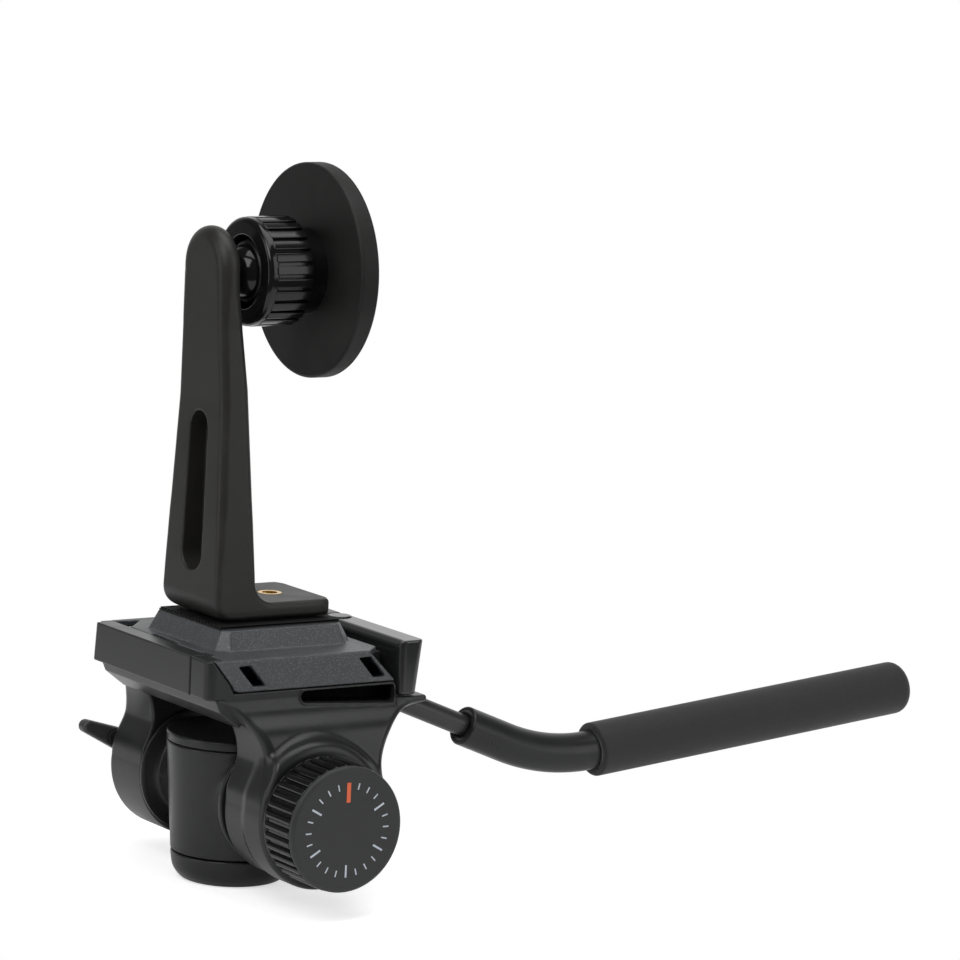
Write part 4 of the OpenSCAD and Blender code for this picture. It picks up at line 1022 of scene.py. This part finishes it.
def ball_joint():
    """Ball with the round shoulder in front of it, and the neck that carries them."""
    r, crown, ahead, neck = 12.7, 11.6, 4.3, 6.5
    swap = degrees(acos((crown * crown - r * r - ahead * ahead) / (2 * r * ahead)))
    start = degrees(acos((ahead + r * cos(radians(swap))) / crown)) + 2
    end = 180 - degrees(asin(neck / crown))
    ball = [(0, BALL_Y - r)]
    ball += [(r * sin(a), BALL_Y - r * cos(a)) for a in np.radians(np.linspace(4, swap, 30))]
    ball += [(crown * sin(a), BALL_Y + ahead - crown * cos(a))
             for a in np.radians(np.linspace(start, end, 30))]
    ball += [(neck, 11.4), (6.9, 12.8), (neck, 14.0), (3.0, 14.0), (3.0, 21.0), (0, 21.0)]
    keep(turned("ball stud", ball, BALL_AXIS), "ball_stud_turned", "gloss_black", "ball_stud")


def collar():
    """Collar nut of the ball joint: a turned body with rounded lands set round it."""
    body = [(18.2, -9.0, 0), (18.05, COLLAR_BACK, 0.4), (21.0, COLLAR_BACK, 1.6),
            (21.0, COLLAR_FRONT - 5.0, 0.4), (22.2, COLLAR_FRONT - 4.4, 0.8),
            (22.2, COLLAR_FRONT, 3.6), (15.2, COLLAR_FRONT, 0.7), (14.6, 3.9, 0.4),
            (13.2, -3.0, 0.3), (18.05, -3.0, 0), (18.2, -9.0, 0)]
    round_piece("collar_body", "gloss_black", "collar_nut", BALL_AXIS, body, steps=156)
    x, y, z, (start, step) = grid((-2.3, COLLAR_BACK, 20), (2.3, COLLAR_FRONT, 22.4), 0.22)
    round_x = np.hypot(x, z) - 22.4
    length = slab(y, COLLAR_BACK + 0.6, COLLAR_FRONT - 3.2)
    land = both(both(np.abs(x) - 1.95, round_x, 0.45), length, 0.9)
    land = both(land, 20.2 - z, 0.1)
    one = skin("land", land, (start + np.array([0, 0, BALL_Z]), step), 0.35)
    repeated(one, "collar_lands", "gloss_black", "collar_nut", Y_AXIS, (0, 0, BALL_Z), 26)


def disc_piece():
    """Rubber coated magnet disc, hollow for its pot."""
    cover = [(0, DISC_BACK + 1.5), (41.5, DISC_BACK + 1.5, 0), (41.5, NECK_BACK - 1.5, 0),
             (14.0, NECK_BACK - 1.5, 0), (14.0, NECK_BACK, 0.2), (44.0, NECK_BACK, 1.3),
             (44.0, DISC_BACK, 1.3), (0, DISC_BACK)]
    round_piece("disc_coat", "rubber_coat", "magnet_cover", BALL_AXIS, cover, steps=180)


# Handle

def rod_place(along):
    """Centre, axis and side direction at a length along the handle, from the shelf outwards."""
    run = min(along, BEND_START)
    first = Vector((0, -cos(ROD_SLOPE), -sin(ROD_SLOPE)))
    up = Vector((0, -sin(ROD_SLOPE), cos(ROD_SLOPE)))
    centre = Vector(ROD_START) + first * run
    turn = min(max(along - BEND_START, 0) / BEND_R, BEND_ANGLE)
    axis = first * cos(turn) + up * sin(turn)
    centre += first * BEND_R * sin(turn) + up * BEND_R * (1 - cos(turn))
    centre += axis * max(along - BEND_START - BEND_R * BEND_ANGLE, 0)
    return centre, axis, Vector(X_AXIS)


def handle():
    """Rod, bent sleeve and foam grip, with soft ends."""
    rod_end, bend_end = ROD_L + 20.0, BEND_START + BEND_R * BEND_ANGLE
    rod = [(0, -17.0), (4.75, -17.0), (4.75, rod_end), (0, rod_end)]
    round_piece("handle_rod_turned", "black_metal", "handle_rod", rod_place, rod, 0.6, 64)
    sleeve = [(0, rod_end), (4.8, rod_end)]
    sleeve += rounded([(4.8, ROD_L), (8.7, ROD_L), (8.7, BEND_START)], 1.1)
    sleeve += [(8.7, BEND_START + BEND_R * BEND_ANGLE * i / 16) for i in range(1, 15)]
    sleeve += rounded([(8.7, bend_end - 3.0), (8.7, bend_end), (6.05, bend_end)], 0.6)
    sleeve += [(6.05, bend_end - 12.0), (0, bend_end - 12.0)]
    keep(turned("handle sleeve", sleeve, rod_place), "handle_sleeve_turned", "black_plastic",
         "handle_sleeve")
    low, high = bend_end, bend_end + GRIP_L
    grip = rounded([(0, high - 5.9), (6.05, high - 5.9, 0), (6.05, low, 0), (12.0, low, 1.2),
                    (12.0, high, 5.0), (0, high)], 1.0, 7)
    keep(turned("foam grip", grip, rod_place), "foam_grip_turned", "foam", "foam_grip")


def coat_nodes():
    """Worked finish on the nodes that keep their own solid."""
    for part in frame["record"]["subparts"]:
        node = frame["nodes"][part["node"]]
        node.data.materials.clear()
        node.data.materials.append(FINISHES[part["material_slot"]])


# Light, floor and camera

def world():
    """Surroundings: white where the camera sees them, in reflections a bright backdrop only."""
    made = bpy.data.worlds.new("studio")
    bpy.context.scene.world = made
    made.use_nodes = True
    tree = made.node_tree
    tree.nodes.clear()
    path = add(tree, "LightPath").outputs
    way = add(tree, "TexCoord").outputs["Generated"]
    to_camera = (-0.8232, 0.5478, 0.1492)
    turn = vector_maths(tree, "DOT_PRODUCT", way, to_camera)["Value"]
    room = ranged(tree, turn, -0.86, -0.4, 1.0, 0.10)
    shown = add(tree, "Mix", {0: path["Is Glossy Ray"], 2: 0.28, 3: room}).outputs[0]
    seen = maths(tree, "MAXIMUM", path["Is Camera Ray"], path["Is Transmission Ray"])
    strength = add(tree, "Mix", {0: seen, 2: shown, 3: 1.0}).outputs[0]
    sky = add(tree, "Background", {"Color": (1.0, 1.0, 1.0, 1.0), "Strength": strength})
    tree.links.new(sky.outputs[0], add(tree, "OutputWorld").inputs["Surface"])


def floor():
    """Plain pale sheet, white away from the shadow, where a lowered handle shows through it."""
    ahead_x, ahead_y = -0.8325, 0.5540
    corners = [(ahead_x * near - ahead_y * side, ahead_y * near + ahead_x * side, 0)
               for near, side in ((400, -450), (-14000, -2500), (-14000, 2500), (400, 450))]
    mesh = mesh_of("floor", corners, [(0, 1, 2, 3)])
    made, tree, body = shader("floor", Base_Color=(0.8, 0.8, 0.8, 1.0), Roughness=0.9,
                              Emission_Color=(1.0, 1.0, 1.0, 1.0))
    path = add(tree, "LightPath").outputs
    shine = maths(tree, "MULTIPLY", path["Is Glossy Ray"], 0.3)
    seen = maths(tree, "MAXIMUM", path["Is Camera Ray"], shine)
    far = vector_maths(tree, "LENGTH", place_on_piece(tree))["Value"]
    glow = maths(tree, "MULTIPLY", seen, ranged(tree, far, 0.15, 0.6, 0.6, 1.0))
    tree.links.new(glow, body.inputs["Emission Strength"])
    ray = maths(tree, "MAXIMUM", path["Is Camera Ray"], path["Is Shadow Ray"])
    share = maths(tree, "MULTIPLY", ranged(tree, far, 0.09, 0.16), ray)
    nothing = add(tree, "BsdfTransparent")
    seen_through = add(tree, "MixShader", {0: share, 1: body.outputs[0], 2: nothing.outputs[0]})
    tree.links.new(seen_through.outputs[0], tree.nodes["Material Output"].inputs["Surface"])
    mesh.materials.append(made)
    sheet = in_scene("floor", mesh)


def lights():
    """Large soft lamps aimed at the middle of the head, places in metres."""
    middle = Vector((0.0, -0.08, 0.13))
    for name, place, size, power in (
            ("top", (-0.2, -0.2, 1.5), (1.2, 1.2), 13.0),
            ("key", (-0.62, 1.0, 1.25), (0.9, 0.9), 11.0),
            ("left", (0.3, 1.5, 0.5), (0.6, 1.2), 5.0),
            ("right", (-1.3, -1.0, 0.6), (0.8, 1.2), 6.0)):
        lamp = bpy.data.lights.new(name, "AREA")
        lamp.shape = "RECTANGLE"
        lamp.size, lamp.size_y = size
        lamp.energy = power
        carrier = in_scene(name, lamp)
        carrier.location = place
        carrier.rotation_euler = (middle - Vector(place)).to_track_quat("-Z", "Y").to_euler()


def camera():
    """The photograph's viewpoint: its turn, height, roll, distance and lens."""
    turn, rise, roll = (radians(a) for a in (236.3645, 8.5811, 2.5623))
    target, away = Vector((-0.044657, -0.085, 0.168311)), 1.919639
    right = Vector((cos(turn), sin(turn), 0.0))
    back = Vector((sin(turn) * cos(rise), -cos(turn) * cos(rise), sin(rise)))
    up = back.cross(right)
    tilted_right = right * cos(roll) + up * sin(roll)
    tilted_up = up * cos(roll) - right * sin(roll)
    lens = bpy.data.cameras.new("photo")
    film, pixels, focal = 36.0, 960, 4687.575
    lens.sensor_width = film
    lens.lens = focal / pixels * film
    lens.clip_start, lens.clip_end = 0.1, 100.0
    carrier = in_scene("photo", lens)
    carrier.matrix_world = Matrix.Translation(target + back * away) @ Matrix(
        (tilted_right, tilted_up, back)).transposed().to_4x4()
    bpy.context.scene.camera = carrier


for make in (coat_nodes, tilt_frame, painted_shade_floors, front_jaw, camera_plate, pad, bracket,
             release_lever, lever_cap, tilt_lever, base_ring, barrel, barrel_cap, knob, knob_face,
             dial, ball_joint, collar, disc_piece, handle, world, floor, lights, camera):
    make()
bpy.context.scene.view_settings.view_transform = "Standard"
